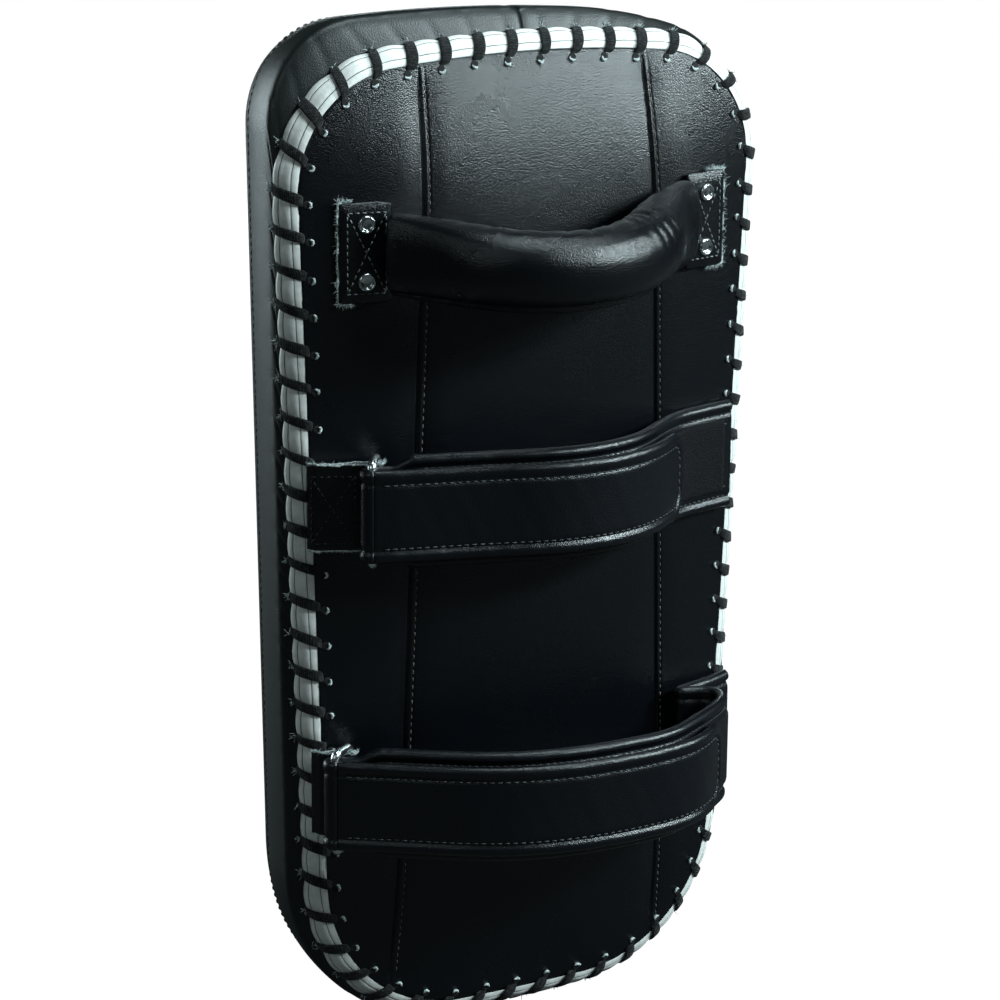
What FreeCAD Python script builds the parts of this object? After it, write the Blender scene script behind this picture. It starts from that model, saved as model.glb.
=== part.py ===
import FreeCAD, Part
import math
import os

# A kick pad for martial arts: a tall padded body that stands on its lower end.
# The strike face looks along +Y. The holder's side, with a carrying handle and
# two forearm straps, looks along -Y. Depths are measured from the lace plane,
# the flat plane through the lace holes, and every piece is then moved by
# back_plane so that the origin is below the middle of the whole pad.

Vector = FreeCAD.Vector
Turn = FreeCAD.Rotation
UP = Vector(0, 0, 1)

doc = FreeCAD.newDocument("kick_pad")
sheet = doc.addObject("Spreadsheet::Sheet", "Dimensions")

DIMENSIONS = [
    ("back_plane", -5, "where the lace plane lies along Y"),
    ("pad_height", 402, "overall height"),
    ("lace_low", 12.5, "lowest lace hole"),
    ("lace_high", 385, "highest lace hole"),
    ("lace_half_top", 97.5, "half width of the lace line at its top"),
    ("lace_half_low", 83, "half width of the lace line at its bottom"),
    ("lace_round_top", 42, "corner radius of the lace line, top"),
    ("lace_round_low", 59, "corner radius of the lace line, bottom"),
    ("lace_bow_top", 8.8, "rise of the bowed top edge"),
    ("lace_bow_low", 3.1, "rise of the bowed bottom edge"),
    ("wall_half_top", 105.5, "half width of the side wall at its top"),
    ("wall_half_low", 98, "half width of the side wall at its bottom"),
    ("wall_round_top", 40, "corner radius of the side wall, top"),
    ("wall_round_low", 55, "corner radius of the side wall, bottom"),
    ("wall_bow_top", 8, "rise of the side wall's top"),
    ("wall_bow_low", 2, "rise of the side wall's bottom"),
    ("panel_margin", 2, "leather between the lace holes and the panel edge"),
    ("strip_spread", 6, "how far the edge strip leans outwards"),
    ("strip_depth", 7, "depth of the edge strip"),
    ("full_depth", 12, "depth where the side wall is at its widest"),
    ("wall_depth", 35, "depth where the side wall meets the strike cover"),
    ("strike_depth", 79, "depth of the strike face"),
    ("dome_inset", 60, "how far the strike face lies inside the outline"),
    ("cover_thick", 2, "leather with its lining"),
    ("panel_crown", 13.5, "how far the back panels bulge"),
    ("seam_half_top", 47, "half width of the centre panel at its top"),
    ("seam_half_low", 61.3, "half width of the centre panel at its bottom"),
    ("lace_count", 72, "turns of the lace round the edge"),
    ("lace_wide", 4.2, "width of the flat lace"),
    ("lace_thick", 1, "thickness of the flat lace"),
    ("lace_gap", 0.3, "room between the lace and the strip"),
    ("grip_diameter", 26, "padded grip"),
    ("core_diameter", 9, "webbing core inside the grip"),
    ("grip_standoff", 56, "middle of the grip, from the lace plane"),
    ("grip_foot", 21.5, "ends of the padding, from the lace plane"),
    ("grip_height", 318, "height of the grip"),
    ("grip_shift", -3, "how far the grip hangs to one side"),
    ("core_foot", 14.5, "ends of the webbing core, from the lace plane"),
    ("core_half_span", 68, "half the distance between the core's ends"),
    ("tab_wide", 20, "handle tab, along the panel"),
    ("tab_tall", 37, "handle tab, up the panel"),
    ("tab_thick", 1.6, "handle tab, two layers of leather"),
    ("tab_middle", 74, "handle tab's middle, from the pad's middle"),
    ("tab_lean", 12, "lean of the crowned panel under the tab, degrees"),
    ("tab_lift", 1.2, "room between the crowned panel and the tab"),
    ("rivet_head", 6.8, "rivet cap"),
    ("rivet_dome", 1.3, "height of the rivet cap"),
    ("rivet_shank", 3, "rivet shank"),
    ("rivet_pitch", 21.4, "distance between a tab's two rivets"),
    ("burr_diameter", 9, "burr washer under the panel"),
    ("burr_thick", 0.8, "thickness of the burr washer"),
    ("burr_place", 6.2, "burr washer, from the outside of the tab"),
    ("strap_tall", 43.6, "width of the padded forearm strap"),
    ("strap_thick", 4, "thickness of the padded forearm strap"),
    ("fold_thick", 2.4, "thickness of the strap's end that wraps the ring"),
    ("flap_tall", 35.5, "width of the closing flap"),
    ("flap_thick", 3.2, "thickness of the closing flap"),
    ("patch_tall", 27, "width of the hook and loop patches"),
    ("patch_thick", 0.9, "thickness of the hook and loop patches"),
    ("layer_gap", 0.5, "clearance between the flap's hooks and the strap's loops"),
    ("patch_seat", 0.05, "clearance between the loop patch and the strap"),
    ("ring_wire", 3.5, "wire of the rectangular ring"),
    ("ring_tall", 40.6, "ring height between the wire's centre lines"),
    ("ring_tab_tall", 34.5, "leather tab that holds the ring"),
    ("upper_middle", 222, "height of the upper strap's middle"),
    ("lower_middle", 109, "height of the lower strap's middle"),
]
for row, (alias, value, note) in enumerate(DIMENSIONS, start=1):
    sheet.set("A%d" % row, note)
    sheet.set("B%d" % row, str(value))
    sheet.setAlias("B%d" % row, alias)
doc.recompute()

SUB_PARTS = []


def size(alias):
    """A driving dimension as a plain number."""
    return float(sheet.get(alias))


def keep(piece, label):
    """Names a sub-part and moves it from the lace plane to its place."""
    piece.Label = label
    piece.setExpression("Placement.Base.y", "Dimensions.back_plane")
    SUB_PARTS.append(piece)
    return piece


def keep_shape(shape, label):
    """A sub-part whose form is worked out here, at its place."""
    piece = doc.addObject("Part::Feature", label)
    piece.Shape = shape
    return keep(piece, label)


# ---------------------------------------------------------------- outlines

SMALLEST_CORNER = 9


class Outline:
    """A tapered, round-cornered outline with bowed ends, seen along Y."""

    def __init__(self, name, low, high):
        self.half_top = size(name + "_half_top")
        self.half_low = size(name + "_half_low")
        self.round_top = size(name + "_round_top")
        self.round_low = size(name + "_round_low")
        self.low = low
        self.high = high
        self.top_radius = self.bow_radius(self.half_top, size(name + "_bow_top"))
        self.low_radius = self.bow_radius(self.half_low, size(name + "_bow_low"))

    @staticmethod
    def bow_radius(half_width, rise):
        """Radius of the arc that rises this much over the half width."""
        return (half_width ** 2 + rise ** 2) / (2 * rise)

    def edges(self, inset):
        """Eight edges, clockwise from the top, moved inwards by inset."""
        side = Vector(self.half_top - self.half_low, self.high - self.low, 0).normalize()
        inward = Vector(-side.y, side.x, 0)
        foot = Vector(self.half_low, self.low, 0) + inward * inset
        top = self.corner(foot, side, inward, self.round_top - inset,
                          Vector(0, self.high - self.top_radius, 0), self.top_radius - inset, 1)
        low = self.corner(foot, side, inward, self.round_low - inset,
                          Vector(0, self.low + self.low_radius, 0), self.low_radius - inset, -1)
        crest = Vector(0, self.high - inset, 0)
        base = Vector(0, self.low + inset, 0)
        return [
            Part.Arc(mirror(top[0]), crest, top[0]),
            Part.Arc(top[0], top[1], top[2]),
            Part.LineSegment(top[2], low[2]),
            Part.Arc(low[2], low[1], low[0]),
            Part.Arc(low[0], base, mirror(low[0])),
            Part.Arc(mirror(low[0]), mirror(low[1]), mirror(low[2])),
            Part.LineSegment(mirror(low[2]), mirror(top[2])),
            Part.Arc(mirror(top[2]), mirror(top[1]), mirror(top[0])),
        ]

    @staticmethod
    def corner(foot, side, inward, radius, middle, bow, way):
        """The round corner that touches the side line and the bowed end."""
        radius = max(radius, SMALLEST_CORNER)
        start = foot + inward * radius - middle
        along = start.dot(side)
        reach = math.sqrt(along ** 2 - start.dot(start) + (bow - radius) ** 2)
        centre = middle + start + side * (way * reach - along)
        outward = (centre - middle).normalize()
        halfway = (outward - inward).normalize()
        return [middle + outward * bow, centre + halfway * radius, centre - inward * radius]


def mirror(point):
    """The same point on the pad's other side."""
    return Vector(-point.x, point.y, 0)


lace_line = Outline("lace", size("lace_low"), size("lace_high"))
wall_line = Outline("wall", 0, size("pad_height"))


def strip_outline(spread):
    """The lace line moved outwards from the panel edge."""
    return lace_line.edges(-size("panel_margin") - spread)


def wall_outline(inset):
    """The side wall's widest outline moved inwards."""
    return wall_line.edges(inset)


# ------------------------------------------------- the body's outer surfaces

THICK = size("cover_thick")
STRIP_DEPTH = size("strip_depth")
FULL_DEPTH = size("full_depth")
WALL_DEPTH = size("wall_depth")
WALL_STEPS = [FULL_DEPTH, 20, 28, WALL_DEPTH]
DOME_STEPS = 6
PANEL_STEPS = [0, 10, 22, 38, 56, 76]


def dome_section(depth, under):
    """Outline of the rounded front at a depth; under is 0 outside, 1 inside."""
    reach = size("strike_depth") - FULL_DEPTH - under * THICK
    span = size("dome_inset") - under * THICK
    fall = math.sqrt(max(0, 1 - ((depth - FULL_DEPTH) / reach) ** 2))
    return (depth, wall_outline(under * THICK + span * (1 - fall)))


def wall_sections(under):
    """From the edge strip to the seam with the strike cover."""
    edge = (STRIP_DEPTH, strip_outline(size("strip_spread") - under * THICK))
    return [edge] + [dome_section(depth, under) for depth in WALL_STEPS]


def dome_sections(under):
    """From the wall's seam to the flat middle of the strike face."""
    reach = size("strike_depth") - FULL_DEPTH - under * THICK
    first = math.asin((WALL_DEPTH - FULL_DEPTH) / reach)
    sections = []
    for step in range(DOME_STEPS + 1):
        angle = first + (math.pi / 2 - first) * step / DOME_STEPS
        sections.append(dome_section(FULL_DEPTH + reach * math.sin(angle), under))
    return sections


def panel_sections(under):
    """From the panels' edge to the top of their crown."""
    half_width = size("lace_half_top")
    sections = []
    for step in PANEL_STEPS:
        bulge = size("panel_crown") * (1 - (1 - step / half_width) ** 2)
        sections.append((under * THICK - bulge, strip_outline(-step)))
    if under:
        sections[0] = (0, strip_outline(-THICK))
    return sections


def section_sketch(body, depth, edges):
    """One closed outline, drawn parallel to the lace plane at a depth."""
    sketch = body.newObject("Sketcher::SketchObject", "Section")
    for plane in body.Origin.OriginFeatures:
        if plane.Role == "XZ_Plane":
            sketch.AttachmentSupport = [(plane, "")]
    sketch.MapMode = "FlatFace"
    sketch.AttachmentOffset = FreeCAD.Placement(Vector(0, 0, -depth), Turn())
    sketch.addGeometry(edges, False)
    return sketch


def loft(body, kind, sections):
    """Adds or removes the solid that runs through the given sections."""
    sketches = [section_sketch(body, depth, edges) for depth, edges in sections]
    feature = body.newObject(kind, "Loft")
    feature.Profile = sketches[0]
    feature.Sections = sketches[1:]
    feature.Ruled = True
    return feature


def lofted(label, outer, hollow=None):
    """A body lofted through its outer sections, less its hollow."""
    body = doc.addObject("PartDesign::Body", label)
    loft(body, "PartDesign::AdditiveLoft", outer)
    if hollow:
        doc.recompute()
        body.Tip = loft(body, "PartDesign::SubtractiveLoft", hollow)
    return body


def box(label, low, high):
    """A plain block used to divide a shell."""
    block = doc.addObject("Part::Box", label)
    block.Length = high[0] - low[0]
    block.Width = high[1] - low[1]
    block.Height = high[2] - low[2]
    block.Placement.Base = Vector(*low)
    return block


def shared(label, base, tool):
    """The part of a shell that lies inside a divider."""
    piece = doc.addObject("Part::Common", label)
    piece.Base = base
    piece.Tool = tool
    return piece


def without(label, base, tool):
    """A shell less everything inside its tool."""
    piece = doc.addObject("Part::Cut", label)
    piece.Base = base
    piece.Tool = tool
    return piece


# ------------------------------------------------------------- padded body

# A divider reaches well past the pad on every side.
FAR = 160
TALL = 420
BELOW = -10


def strike_side():
    """The domed cover that takes the kicks, with its foam behind it."""
    keep(lofted("strike_cover", dome_sections(0), dome_sections(1)), "strike_cover")
    keep(lofted("front_foam", dome_sections(1)), "front_foam")


def side_walls():
    """Two leather gussets, joined by a seam at the top and one at the bottom."""
    whole = lofted("wall_shell", wall_sections(0), wall_sections(1))
    for side, low in (("left", -FAR), ("right", 0)):
        half = box("wall_half_" + side, (low, -FAR, BELOW), (low + FAR, FAR, TALL))
        keep(shared("side_wall_" + side, whole, half), "side_wall_" + side)
    keep(lofted("core_foam", wall_sections(1)), "core_foam")


def edge_strip():
    """The bevelled strip that the lace holds between panels and walls."""
    spread = size("strip_spread")
    outer = [(0, strip_outline(0)), (STRIP_DEPTH, strip_outline(spread))]
    inner = [(0, strip_outline(-THICK)), (STRIP_DEPTH, strip_outline(spread - THICK))]
    keep(lofted("edge_strip", outer, inner), "edge_strip")


def seam_wedge(label, low_half, top_half):
    """Everything between the two slanted seams of the back."""
    corners = [
        Vector(-low_half, 0, 0),
        Vector(low_half, 0, 0),
        Vector(top_half, TALL, 0),
        Vector(-top_half, TALL, 0),
    ]
    body = doc.addObject("PartDesign::Body", label)
    edges = [Part.LineSegment(a, b) for a, b in zip(corners, corners[1:] + corners[:1])]
    pad = body.newObject("PartDesign::Pad", "Slab")
    pad.Profile = section_sketch(body, 0, edges)
    pad.Length = 4 * THICK + 2 * size("panel_crown")
    pad.Midplane = True
    return body


def rivet_places():
    """Each rivet as its place on the panel and the direction into the pad."""
    places = []
    for side in (-1, 1):
        lean = math.radians(side * size("tab_lean"))
        into = Vector(-math.sin(lean), math.cos(lean), 0)
        for row in (-0.5, 0.5):
            height = size("grip_height") + row * size("rivet_pitch")
            places.append((tab_point(side) + UP * height, into))
    return places


def tab_point(side):
    """Middle of a handle tab's outer face, at height zero."""
    across = size("tab_middle")
    bulge = size("panel_crown") * (1 - (across / size("lace_half_top")) ** 2)
    return Vector(side * across, -bulge - size("tab_thick") - size("tab_lift"), 0)


def rivet_holes(label, reach, diameter, start):
    """Round tools along the rivets, for the holes and for the burrs' seats."""
    tools = []
    for place, into in rivet_places():
        tools.append(Part.makeCylinder(diameter / 2, reach, place + into * start, into))
    holes = doc.addObject("Part::Feature", label)
    holes.Shape = Part.makeCompound(tools)
    return holes


# How far the burr's seat reaches into the foam, and how wide it is cut.
SEAT_DEEP = 9
SEAT_ROOM = 1
DRILL_LONG = 20
DRILL_START = -5


def back_side():
    """Three crowned panels over the back foam, drilled for the rivets."""
    shell = lofted("panel_shell", panel_sections(0), panel_sections(1))
    drills = rivet_holes("shank_holes", DRILL_LONG, size("rivet_shank"), DRILL_START)
    drilled = without("panel_drilled", shell, drills)
    centre = seam_wedge("centre_wedge", size("seam_half_low"), size("seam_half_top"))
    keep(shared("back_panel_center", drilled, centre), "back_panel_center")
    flanks = without("flanks", drilled, centre)
    for side, low in (("left", -FAR), ("right", 0)):
        half = box("panel_half_" + side, (low, -FAR, BELOW), (low + FAR, FAR, TALL))
        keep(shared("back_panel_" + side, flanks, half), "back_panel_" + side)
    strip_end = (STRIP_DEPTH, strip_outline(size("strip_spread") - THICK))
    foam = lofted("back_foam_blank", [strip_end] + panel_sections(1))
    seats = rivet_holes("burr_seats", SEAT_DEEP, size("burr_diameter") + SEAT_ROOM, 0)
    keep(without("back_foam", foam, seats), "back_foam")



# ------------------------------------------------------------------ lacing

# Each turn of lace starts this far inside its hole and clear of the panel.
LACE_DIP = 1


def lacing():
    """Short turns of flat lace, each over the strip from hole to hole."""
    line = Part.Wire([edge.toShape() for edge in lace_line.edges(0)])
    count = int(size("lace_count"))
    points = line.discretize(Number=count + 1)[:count]
    middle = Vector(0, (size("lace_low") + size("lace_high")) / 2, 0)
    turns = []
    for number, point in enumerate(points):
        step = points[(number + 1) % count] - points[number - 1]
        out = Vector(step.y, -step.x, 0).normalize()
        if out.dot(point - middle) < 0:
            out = out * -1
        turns.append(lace_turn(point, out))
    keep_shape(Part.makeCompound(turns), "lacing")


def lace_turn(point, out):
    """One turn: a thin strap bent over the bevel, as wide as the lace."""
    gap = size("lace_gap")
    rise = gap + size("lace_thick")
    edge = size("panel_margin")
    far_edge = edge + size("strip_spread")
    under = [(-LACE_DIP, -gap - LACE_DIP), (edge, -gap), (far_edge + gap, STRIP_DEPTH)]
    over = [(-LACE_DIP, -rise - LACE_DIP), (edge + LACE_DIP, -rise),
            (far_edge + rise, STRIP_DEPTH - LACE_DIP), (far_edge + rise, STRIP_DEPTH)]
    corners = [lift(point, out, away, depth) for away, depth in under + over[::-1]]
    along = out.cross(Vector(0, 0, 1))
    width = Vector(along.x, 0, along.y) * size("lace_wide")
    face = Part.Face(Part.makePolygon([corner - width * 0.5 for corner in corners + corners[:1]]))
    return face.extrude(width)


def lift(point, out, away, depth):
    """A point of the pad, from the lace line outwards and into the depth."""
    flat = point + out * away
    return Vector(flat.x, depth, flat.y)


# ------------------------------------------------------------------ handle

def handle():
    """A webbing core in a padded grip, bowed out between two riveted tabs."""
    core = pipe(grip_path(size("core_foot")), size("core_diameter"))
    grip = pipe(grip_path(size("grip_foot")), size("grip_diameter"))
    keep_shape(grip.cut(core), "handle_grip")
    keep_shape(core, "handle_core")
    for side, name in ((-1, "left"), (1, "right")):
        handle_tab(side, name)
    rivets = []
    burrs = []
    for place, into in rivet_places():
        rivets.append(rivet(place, into))
        seat = place + into * size("burr_place")
        washer = Part.makeCylinder(size("burr_diameter") / 2, size("burr_thick"), seat, into)
        hole = Part.makeCylinder(size("rivet_shank") / 2, size("burr_thick"), seat, into)
        burrs.append(washer.cut(hole))
    keep_shape(Part.makeCompound(rivets), "handle_rivets")
    keep_shape(Part.makeCompound(burrs), "rivet_burrs")


def grip_path(foot):
    """The grip's arc, cut off where it comes this near to the lace plane."""
    rise = size("grip_standoff") - size("core_foot")
    radius = (size("core_half_span") ** 2 + rise ** 2) / (2 * rise)
    centre = Vector(size("grip_shift"), radius - size("grip_standoff"), size("grip_height"))
    reach = math.sqrt(radius ** 2 - (centre.y + foot) ** 2)
    start = Vector(centre.x - reach, -foot, centre.z)
    end = Vector(centre.x + reach, -foot, centre.z)
    return Part.Wire([Part.Arc(start, centre - Vector(0, radius, 0), end).toShape()])


def pipe(path, diameter):
    """A round bar along a path."""
    start = path.Edges[0].valueAt(path.Edges[0].FirstParameter)
    heading = path.Edges[0].tangentAt(path.Edges[0].FirstParameter)
    section = Part.Wire([Part.makeCircle(diameter / 2, start, heading)])
    return path.makePipeShell([section], True, True)


# The rivet cap is flat for this share of its radius, and this thick at its rim.
CAP_FLAT = 0.6
CAP_RIM = 0.5


def rivet(place, into):
    """A low domed cap on a shank that ends behind its burr."""
    head = size("rivet_head") / 2
    shank = size("rivet_shank") / 2
    dome = size("rivet_dome")
    length = size("burr_place") + size("burr_thick")
    profile = [
        Vector(0, 0, -dome),
        Vector(head * CAP_FLAT, 0, -dome),
        Vector(head, 0, -CAP_RIM),
        Vector(head, 0, 0),
        Vector(shank, 0, 0),
        Vector(shank, 0, length),
        Vector(0, 0, length),
    ]
    face = Part.Face(Part.makePolygon(profile + profile[:1]))
    solid = face.revolve(Vector(0, 0, 0), UP, 360)
    solid.Placement = FreeCAD.Placement(place, Turn(UP, into))
    return solid


TAB_CORNER = 2


def handle_tab(side, name):
    """A small leather plate on the panel, with its two rivet holes."""
    body = doc.addObject("PartDesign::Body", "handle_tab_" + name)
    half_wide = size("tab_wide") / 2
    half_tall = size("tab_tall") / 2
    sketch = section_sketch(body, 0, rounded_plate(half_wide, half_tall, TAB_CORNER))
    for row in (-0.5, 0.5):
        centre = Vector(0, row * size("rivet_pitch"), 0)
        sketch.addGeometry(Part.Circle(centre, UP, size("rivet_shank") / 2), False)
    pad = body.newObject("PartDesign::Pad", "Plate")
    pad.Profile = sketch
    pad.setExpression("Length", "Dimensions.tab_thick")
    pad.Reversed = True
    keep(body, "handle_tab_" + name)
    body.Placement = FreeCAD.Placement(tab_point(side), Turn(UP, side * size("tab_lean")))
    crown = "Dimensions.panel_crown * (1 - (Dimensions.tab_middle / Dimensions.lace_half_top) ^ 2)"
    levels = ["Dimensions.back_plane", crown, "Dimensions.tab_thick", "Dimensions.tab_lift"]
    body.setExpression("Placement.Base.y", " - ".join(levels))
    body.setExpression("Placement.Base.z", "Dimensions.grip_height")


def rounded_plate(half_wide, half_tall, radius):
    """Edges of a rectangle about the origin, with four round corners."""
    edges = []
    cut = radius * (1 - math.sqrt(0.5))
    for turn in range(4):
        wide, tall = (half_wide, half_tall) if turn % 2 == 0 else (half_tall, half_wide)
        spin = Turn(UP, 90 * turn)
        line = (Vector(wide, radius - tall, 0), Vector(wide, tall - radius, 0))
        bend = (line[1], Vector(wide - cut, tall - cut, 0), Vector(wide - radius, tall, 0))
        edges.append(Part.LineSegment(*[spin.multVec(point) for point in line]))
        edges.append(Part.Arc(*[spin.multVec(point) for point in bend]))
    return edges


# ----------------------------------------------------------- forearm straps

# Each strap is given by its route in plan: where the ring's two bars stand,
# the middle line of the flap from its fold line to its free end, and the
# middle line of the strap's last stretch down to the pad's right edge.
STRAPS = {
    "upper": {
        "tab_bar": (-71.5, -11.3),
        "strap_bar": (-78.2, -20.2),
        "flap": [(-78, -23.7), (-58.5, -29.5), (-33, -37), (-12, -43.5), (8, -45), (37, -35.5), (57, -19.5)],
        "anchor": [(62, -11.8), (72, -8.6), (90, -4.2)],
        "tab_root": (-93.3, -3.8),
    },
    "lower": {
        "tab_bar": (-81.5, -8),
        "strap_bar": (-90.7, -13.9),
        "flap": [(-90.5, -17.4), (-72, -30.5), (-41, -51.5), (-15, -60), (14, -62), (46, -55.5), (64, -41)],
        "anchor": [(70, -29), (79, -16), (86.5, -3.8)],
        "tab_root": (-92, -3.4),
    },
}
BAND_STEPS = 24

# The strap's end turns round the ring to this angle, with this play over the bar.
FOLD_END = 240
FOLD_PLAY = 0.2


def smooth(points):
    """A curve in plan through a few points."""
    curve = Part.BSplineCurve()
    curve.interpolate([Vector(x, y, 0) for x, y in points])
    return curve


def beside(curve, start, end, offset):
    """Points beside a stretch of a curve, offset to its left in plan."""
    points = []
    for step in range(BAND_STEPS + 1):
        along = start + (end - start) * step / BAND_STEPS
        place = curve.parameterAtDistance(along, curve.FirstParameter)
        heading = Vector(*curve.tangent(place)[0]).normalize()
        points.append(curve.value(place) + UP.cross(heading) * offset)
    return points


def band(curve, start, end, near, far, middle, tall):
    """A band of even thickness that follows a curve and stands upright."""
    sides = []
    for offset in (near, far):
        edge = Part.BSplineCurve()
        edge.interpolate(beside(curve, start, end, offset))
        sides.append(edge)
    ends = [
        Part.LineSegment(sides[0].EndPoint, sides[1].EndPoint),
        Part.LineSegment(sides[1].StartPoint, sides[0].StartPoint),
    ]
    wire = Part.Wire([sides[0].toShape(), ends[0].toShape(), sides[1].toShape(), ends[1].toShape()])
    solid = Part.Face(wire).extrude(UP * tall)
    solid.translate(UP * (middle - tall / 2))
    return solid


def ring(name, route, middle):
    """A rectangular wire ring: two upright bars and two short ones."""
    reach = size("ring_tall") / 2
    corners = []
    for bar, height in (("tab_bar", -1), ("tab_bar", 1), ("strap_bar", 1), ("strap_bar", -1)):
        corners.append(Vector(route[bar][0], route[bar][1], middle + height * reach))
    pieces = []
    for number, corner in enumerate(corners):
        run = corners[(number + 1) % 4] - corner
        rod = doc.addObject("Part::Cylinder", "Rod")
        rod.setExpression("Radius", "Dimensions.ring_wire / 2")
        rod.Height = run.Length
        rod.Placement = FreeCAD.Placement(corner, Turn(UP, run))
        ball = doc.addObject("Part::Sphere", "Bend")
        ball.setExpression("Radius", "Dimensions.ring_wire / 2")
        ball.Placement.Base = corner
        pieces.extend([rod, ball])
    whole = doc.addObject("Part::MultiFuse", name + "_ring")
    whole.Shapes = pieces
    keep(whole, name + "_ring")


# The tab's leather round the ring's bar, its thickness at the root, and the bar's play.
EYE_WALL = 1.3
TAB_END = 2.4
EYE_PLAY = 0.05


def ring_tab(name, route):
    """A leather strip sewn to the panel and folded round the ring's bar."""
    bar = Vector(route["tab_bar"][0], route["tab_bar"][1], 0)
    root = Vector(route["tab_root"][0], route["tab_root"][1], 0)
    eye = size("ring_wire") / 2 + EYE_WALL
    back = (root - bar).normalize()
    across = UP.cross(back)
    thin = TAB_END / 2
    outline = [
        Part.LineSegment(root + across * thin, bar + across * eye),
        Part.Arc(bar + across * eye, bar - back * eye, bar - across * eye),
        Part.LineSegment(bar - across * eye, root - across * thin),
        Part.LineSegment(root - across * thin, root + across * thin),
    ]
    body = doc.addObject("PartDesign::Body", name + "_ring_tab")
    sketch = body.newObject("Sketcher::SketchObject", "Profile")
    for plane in body.Origin.OriginFeatures:
        if plane.Role == "XY_Plane":
            sketch.AttachmentSupport = [(plane, "")]
    sketch.MapMode = "FlatFace"
    sketch.addGeometry(outline, False)
    sketch.addGeometry(Part.Circle(bar, UP, size("ring_wire") / 2 + EYE_PLAY), False)
    pad = body.newObject("PartDesign::Pad", "Width")
    pad.Profile = sketch
    pad.setExpression("Length", "Dimensions.ring_tab_tall")
    keep(body, name + "_ring_tab")
    body.setExpression("Placement.Base.z", "Dimensions.%s_middle - Dimensions.ring_tab_tall / 2" % name)


def fold_start(route):
    """Where the strap passes between the ring's bars, in degrees about its own bar."""
    across = route["tab_bar"][0] - route["strap_bar"][0]
    return math.degrees(math.atan2(route["tab_bar"][1] - route["strap_bar"][1], across))


def fold(route, middle):
    """The strap's thin end, bent round the ring's outer bar."""
    inner = size("ring_wire") / 2 + FOLD_PLAY
    outer = inner + size("fold_thick")
    tall = size("flap_tall")
    base = Vector(route["strap_bar"][0], route["strap_bar"][1], middle - tall / 2)
    first = fold_start(route)
    turn = FOLD_END - first
    sleeve = Part.makeCylinder(outer, tall, base, UP, turn)
    sleeve = sleeve.cut(Part.makeCylinder(inner, tall, base, UP))
    sleeve.rotate(base, UP, first)
    return sleeve


# The strap runs beside the flap from this share of its length; every third point is kept.
STRAP_FIRST = 0.2
STRAP_SKIP = 3


def strap_route(route):
    """Middle line of the strap, from the ring to the pad's right edge."""
    spacing = size("strap_thick") / 2 + size("flap_thick") / 2
    spacing += 2 * size("patch_thick") + size("layer_gap")
    flap_line = smooth(route["flap"])
    length = flap_line.length()
    angle = math.radians(fold_start(route))
    radius = size("ring_wire") / 2 + FOLD_PLAY + size("fold_thick") / 2
    bar = route["strap_bar"]
    points = [(bar[0] + radius * math.cos(angle), bar[1] + radius * math.sin(angle))]
    for point in beside(flap_line, length * STRAP_FIRST, length, spacing)[::STRAP_SKIP]:
        points.append((point.x, point.y))
    return smooth(points + route["anchor"])


# The strap is thin for its first stretch behind the fold. The loop patch covers a
# share of the strap, and the hook patch the flap's last part, short of its end.
FOLD_RUN = 12
LOOP_FIRST = 0.42
LOOP_LAST = 0.88
HOOK_FIRST = 0.55
HOOK_END = 8


def forearm_strap(name, route):
    """One strap with its ring, tab, flap and two touch-fastener patches."""
    middle = size(name + "_middle")
    half = size("strap_thick") / 2
    thin = size("fold_thick") / 2
    line = strap_route(route)
    length = line.length()
    padded = band(line, FOLD_RUN, length, -half, half, middle, size("strap_tall"))
    neck = band(line, 0, FOLD_RUN, -thin, thin, middle, size("flap_tall"))
    keep_shape(padded.fuse([neck, fold(route, middle)]).removeSplitter(), name + "_strap")

    patch = size("patch_thick")
    tall = size("patch_tall")
    seat = -half - size("patch_seat")
    loops = band(line, length * LOOP_FIRST, length * LOOP_LAST, seat - patch, seat, middle, tall)
    keep_shape(loops, name + "_loop_patch")

    flap_line = smooth(route["flap"])
    reach = flap_line.length()
    depth = size("flap_thick") / 2
    flap = band(flap_line, 0, reach, -depth, depth, middle, size("flap_tall"))
    hinge = Vector(route["flap"][0][0], route["flap"][0][1], middle - size("flap_tall") / 2)
    flap = flap.fuse(Part.makeCylinder(depth, size("flap_tall"), hinge, UP)).removeSplitter()
    keep_shape(rounded_end(flap, route["flap"][-1][0], middle), name + "_flap")
    hooks = band(flap_line, reach * HOOK_FIRST, reach - HOOK_END, depth, depth + patch, middle, tall)
    keep_shape(hooks, name + "_hook_patch")
    ring(name, route, middle)
    ring_tab(name, route)


# The free end's round corners, and how far past its last point the flap reaches.
FLAP_CORNER = 9
FLAP_END = 1.2


def rounded_end(flap, end, middle):
    """Rounds the two corners of a flap's free end, seen from the back."""
    half = size("flap_tall") / 2
    plate = [edge.toShape() for edge in rounded_plate(FAR, half, FLAP_CORNER)]
    face = Part.Face(Part.Wire(Part.__sortEdges__(plate)))
    face.rotate(Vector(0, 0, 0), Vector(1, 0, 0), 90)
    face.translate(Vector(end + FLAP_END - FAR, FAR, middle))
    return flap.common(face.extrude(Vector(0, -2 * FAR, 0)))


# ------------------------------------------------------------------- build

strike_side()
side_walls()
edge_strip()
back_side()
lacing()
handle()
for strap_name, strap_plan in STRAPS.items():
    forearm_strap(strap_name, strap_plan)

doc.recompute()
for thing in doc.Objects:
    if "Invalid" in thing.State or "Error" in thing.State:
        raise RuntimeError("%s did not build: %s" % (thing.Label, thing.State))
for piece in SUB_PARTS:
    if piece.Shape.isNull() or not piece.Shape.isValid() or not piece.Shape.Solids:
        raise RuntimeError("%s has no valid solid" % piece.Label)

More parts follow.
